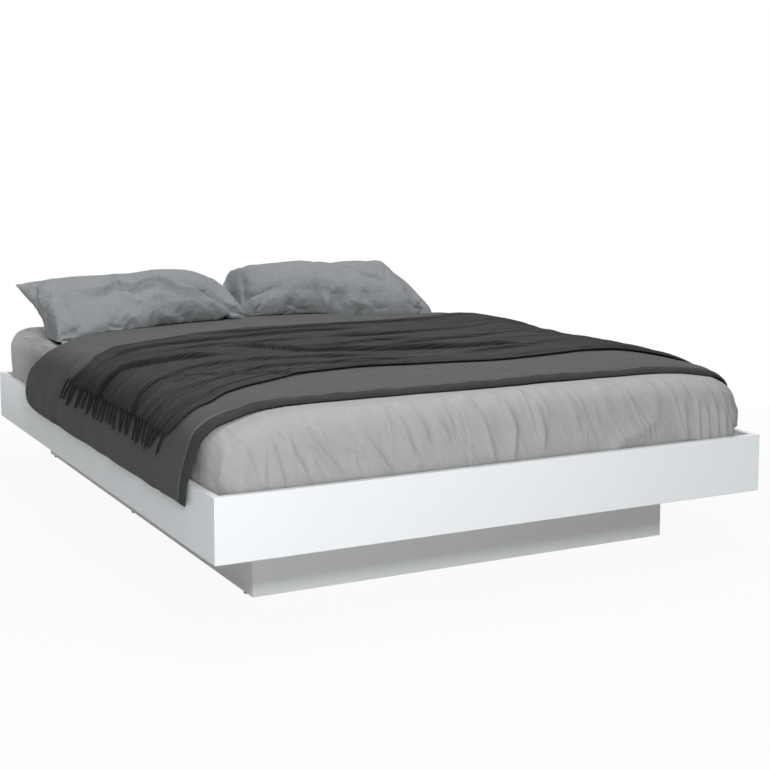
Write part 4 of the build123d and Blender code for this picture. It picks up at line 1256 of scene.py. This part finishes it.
def pillow_cloth(name, corners):
    """A pillow blown up by cloth simulation between its four corners, on the bed."""
    front_left, front_right, back_right, back_left = corners

    def flat_place(across, along):
        front = front_left.lerp(front_right, across)
        back = back_left.lerp(back_right, across)
        place = front.lerp(back, along)
        # Between its corners the cover starts lower at the front, where it lies on the bed
        dip = math.sin(math.pi * across) * (1 - along) * front_dip
        return place - Vector((0, 0, dip))

    columns, rows = pillow_grid
    pillow = cloth_grid(name, columns, rows, flat_place, *pillow_size)
    pins = pillow.vertex_groups.new(name="corners")
    last = (columns + 1) * (rows + 1)
    pins.add([0, columns, last - 1 - columns, last - 1], 1.0, "REPLACE")
    closed_round(pillow)
    changed(pillow, "SOLIDIFY", thickness=panel_gap, offset=0.0)
    bpy.ops.object.modifier_add(type="CLOTH")
    cloth = pillow.modifiers["Cloth"]
    for label, value in cover_cloth.items():
        setattr(cloth.settings, label, value)
    cloth.settings.effector_weights.gravity = 0.0
    cloth.collision_settings.use_collision = True
    cloth.collision_settings.distance_min = 0.002
    cloth.point_cache.frame_start = 1
    cloth.point_cache.frame_end = swelling_moments
    for moment in range(1, swelling_moments + 1):
        bpy.context.scene.frame_set(moment)
    only_active(pillow)
    bpy.ops.object.modifier_apply(modifier="Cloth")
    bpy.context.scene.frame_set(1)
    return pillow


bpy.ops.object.select_all(action="DESELECT")
bpy.ops.mesh.primitive_plane_add(size=4, location=(0, 0, pillow_floor_z - 0.002))
bed_top = bpy.context.active_object
bpy.ops.object.modifier_add(type="COLLISION")
bed_top.collision.thickness_outer = 0.002

# Each pillow's corners: front left, front right, back right and back left
pillow_corners = {
    "pillow_left": [
        Vector((-0.712, 0.530, 0.492)), Vector((0.014, 0.722, 0.500)),
        Vector((-0.040, 0.915, 0.628)), Vector((-0.736, 0.950, 0.626)),
    ],
    "pillow_right": [
        Vector((0.046, 0.775, 0.500)), Vector((0.722, 0.640, 0.500)),
        Vector((0.700, 0.940, 0.626)), Vector((0.000, 0.950, 0.615)),
    ],
}
pillows = {}
for node, corners in pillow_corners.items():
    pillows[node] = pillow_cloth("linen_" + node, corners)
bpy.data.objects.remove(bed_top)

# How much higher or lower each crest lies than the simulation leaves it, by place across the bed
crest_changes = {
    "pillow_left": line_through(
        -740, -14, -680, -26, -570, -31, -470, -35.5, -400, -31, -290, -11.5, -150, 1, -55, -15,
    ),
    "pillow_right": line_through(
        0, 45, 63, 62, 120, 59, 200, 52, 276, 43.5, 337, 36.5, 411.5, 18, 478, 14, 560, 5, 628, -8,
        667, -37, 730, -45,
    ),
}
# Folds, and hollows of a negative height, as the camera sees them on an upright plane through the
# pillows, by places across the bed and up
fold_plane_y = 0.70
pillow_folds = {
    "pillow_left": ridge_lines(
        (27, 22, -677, 603, -602, 612, -560, 603, -516, 609, -483, 626, -466, 636, -441, 622, -411, 615,
         -383, 625, -337, 641, -309, 638, -281, 624, -247, 611, -172, 601),
        (-8.5, 13, -560, 585, -516, 589, -466, 614, -411, 594, -337, 619, -290, 604, -240, 588),
        (6, 10, -463, 634, -439, 600, -409, 578, -347, 556),
        (7, 10, -329, 625, -319, 564, -310, 525, -303, 492), (-5, 12, -346, 617, -339, 565, -331, 516),
        (5, 7, -732, 546, -705, 566, -673, 581), (5, 7, -720, 528, -695, 546, -660, 563),
        (4, 8, -709, 509, -685, 527, -650, 543), (9, 13, -685, 660, -718, 624, -733, 584, -737, 562),
        (-9, 8, -491, 495, -469, 488, -444, 483), (5, 14, -678, 467, -638, 489, -594, 498),
        (4, 14, -246, 661, -212, 647, -177, 625), (3, 12, -527, 590, -506, 568, -496, 535),
        (3.5, 15, -213, 576, -166, 546, -126, 505), (2.5, 12, -582, 577, -561, 538),
        (-3, 12, -393, 666, -371, 651, -337, 644),
    ),
    "pillow_right": ridge_lines(
        (-16, 7.5, -4, 635, -10, 600, -14, 552), (9, 10, 13, 681, -20, 641, -40, 596, -54, 575),
        (-13, 10, -60, 573, -14, 548, 15, 569, 50, 579, 103, 596), (6, 22, 20, 533, 67, 543, 114, 568),
        (7, 8, 252, 645, 275, 600, 298, 554, 319, 507), (-5, 6, 276, 644, 298, 593, 316, 548),
        (5, 8, 292, 642, 325, 592, 342, 566), (3.5, 8, 192, 585, 222, 546),
        (-8, 9, 154, 540, 197, 518, 239, 506), (-10, 7, 443, 638, 481, 627, 525, 614, 573, 601),
        (7, 11, 338, 680, 381, 670, 418, 656, 481, 637, 564, 616), (-6, 6, 552, 646, 561, 610),
        (-6, 7, 506, 501, 564, 504), (3, 14, 86, 662, 103, 634, 138, 600), (2.5, 10, 369, 612, 384, 577),
        (3.5, 14, 596, 569, 661, 526),
    ),
}
contact_reach = 0.20
contact_step = 0.02
front_spread = 0.030
spread_height = 0.09
squeeze_height = 0.024
tip_reach = 0.022
draw_share, draw_limit = 0.8, 0.12
edge_room = 0.03
pillow_clear = 0.0012
tip_length = 0.045
tip_rise = 0.003


def bed_height(x, y):
    """The height of the bedding that a pillow lies on: the duvet, or the sheet beyond its head edge."""
    run = min(abs(x), duvet_shoulder)
    if y > eased(duvet_head_edge, run):
        return sheet_high.z
    return duvet_under + duvet_lift(math.copysign(run, x), y)


def in_view(point):
    """Where the camera sees a point, on the upright plane that the folds are given on."""
    eye = Vector(camera.location)
    return eye + (point - eye) * ((fold_plane_y - eye.y) / (point.y - eye.y))


def nearest_vertex(mesh, place):
    """The vertex that lies nearest to a place across and along the bed."""
    return min(mesh.vertices, key=lambda vertex: (vertex.co.xy - place.xy).length)


def relaxed_tips(pillow, corners):
    """Draws the pinned corners of a pillow back level with the cloth round them."""
    mesh = pillow.data
    beside = {}
    for edge in mesh.edges:
        for one, other in (edge.vertices, reversed(edge.vertices)):
            beside.setdefault(one, []).append(other)
    near = [v.index for v in mesh.vertices if min((v.co - corner).length for corner in corners) < tip_reach]
    for _ in range(6):
        places = {k: sum((mesh.vertices[n].co for n in beside[k]), Vector()) / len(beside[k]) for k in near}
        for k, place in places.items():
            mesh.vertices[k].co = place


def front_edge(mesh):
    """A pillow's front edge, and how high its lowest points are over the bed, by places across."""
    fronts, lowest = {}, {}
    for vertex in mesh.vertices:
        strip = round(vertex.co.x / contact_step)
        fronts[strip] = min(fronts.get(strip, 9), vertex.co.y)
    for vertex in mesh.vertices:
        strip = round(vertex.co.x / contact_step)
        if vertex.co.y < fronts[strip] + 0.05:
            over = vertex.co.z - bed_height(vertex.co.x, vertex.co.y)
            lowest[strip] = min(lowest.get(strip, 9), over)
    strips = sorted(lowest)
    edges, gaps = [], []
    for strip in strips:
        # Each strip is evened out with the ones beside it
        beside = [k for k in (strip - 1, strip, strip + 1) if k in lowest]
        to_tip = contact_step * min(strip - strips[0], strips[-1] - strip)
        rise = tip_rise * max(0, 1 - to_tip / tip_length)
        edges.append((strip * contact_step, sum(fronts[k] for k in beside) / len(beside)))
        gaps.append((strip * contact_step, sum(lowest[k] for k in beside) / len(beside) - rise))
    return edges, gaps


def near_share(behind):
    """From 1 at a pillow's front edge to 0 where it no longer follows the bed."""
    near = clamped(1 - behind / contact_reach)
    return near * near * (3 - 2 * near)


def front_line(corners, x):
    """The line between a pillow's front corners at a place across, and how far inside its ends."""
    left, right = corners[:2]
    share = clamped((x - left.x) / (right.x - left.x))
    return left.y + share * (right.y - left.y), min(1, 6 * share, 6 * (1 - share))


def settle_pillow(pillow, node):
    """Lowers the pillow's front onto the bed, sets its crest, and presses its folds into it."""
    mesh = pillow.data
    changes, folds, corners = crest_changes[node], pillow_folds[node], pillow_corners[node]
    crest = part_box(node)[1].z - pillow_floor_z
    for vertex in mesh.vertices:
        share = (vertex.co.z - pillow_floor_z) / crest
        vertex.co.z += share * eased(changes, vertex.co.x)
    # The front edge comes forward to the line between its corners, then down to the bed
    edges, _ = front_edge(mesh)
    for vertex in mesh.vertices:
        line, _ = front_line(corners, vertex.co.x)
        edge = min(eased(edges, vertex.co.x), line + draw_limit)
        vertex.co.y -= draw_share * max(0, edge - line) * near_share(vertex.co.y - edge)
    for _ in range(3):
        edges, gaps = front_edge(mesh)
        for vertex in mesh.vertices:
            line, _ = front_line(corners, vertex.co.x)
            edge = min(eased(edges, vertex.co.x), line + edge_room)
            vertex.co.z -= max(0, eased(gaps, vertex.co.x)) * near_share(vertex.co.y - edge)
    relaxed_tips(pillow, [nearest_vertex(mesh, corner).co.copy() for corner in corners[:2]])
    # Its weight presses the underside flat and spreads the foot of its front forward
    mesh.update()
    downwards = [clamped(0.3 - 1.5 * vertex.normal.z) for vertex in mesh.vertices]
    for vertex, down in zip(mesh.vertices, downwards):
        over = vertex.co.z - bed_height(vertex.co.x, vertex.co.y)
        vertex.co.z -= down * over * bell(over, squeeze_height)
        line, inside = front_line(corners, vertex.co.x)
        low = max(0, 1 - over / spread_height)
        vertex.co.y -= front_spread * inside * low * near_share(vertex.co.y - line)
    mesh.update()
    normals = [vertex.normal.copy() for vertex in mesh.vertices]
    for vertex, normal in zip(mesh.vertices, normals):
        facing = clamped(0.35 * normal.z - normal.y + 0.25)
        if facing > 0:
            seen = in_view(vertex.co)
            lift = sum(height * ridge_lift(line, width, seen.x, seen.z) for line, height, width in folds)
            vertex.co += normal * lift * facing
    for vertex in mesh.vertices:
        vertex.co.z = max(vertex.co.z, bed_height(vertex.co.x, vertex.co.y) + pillow_clear)


pillow_linen, tree, shader = cloth_material(
    "pillow_linen", (0.217, 0.228, 0.236), (0.271, 0.284, 0.292), 800.0, 26.0, 330.0, 0.00024, 0.92, 0.04
)
# Fine creases of washed linen, which run every way
crumpled = stretched(tree, tree.nodes["Texture Coordinate"].outputs["Object"], (10, 10, 14))
creased(tree, shader, crumpled, 0.36, 0.0020, 2.5, 0.5, 0.7)
for node, pillow in pillows.items():
    only_active(pillow)
    changed(pillow, "SUBSURF", levels=1, render_levels=1)
    relaxed_tips(pillow, pillow_corners[node])
    settle_pillow(pillow, node)
    bpy.ops.object.shade_smooth()
    pillow.data.materials.append(pillow_linen)
    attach(pillow, node)
    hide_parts(node)
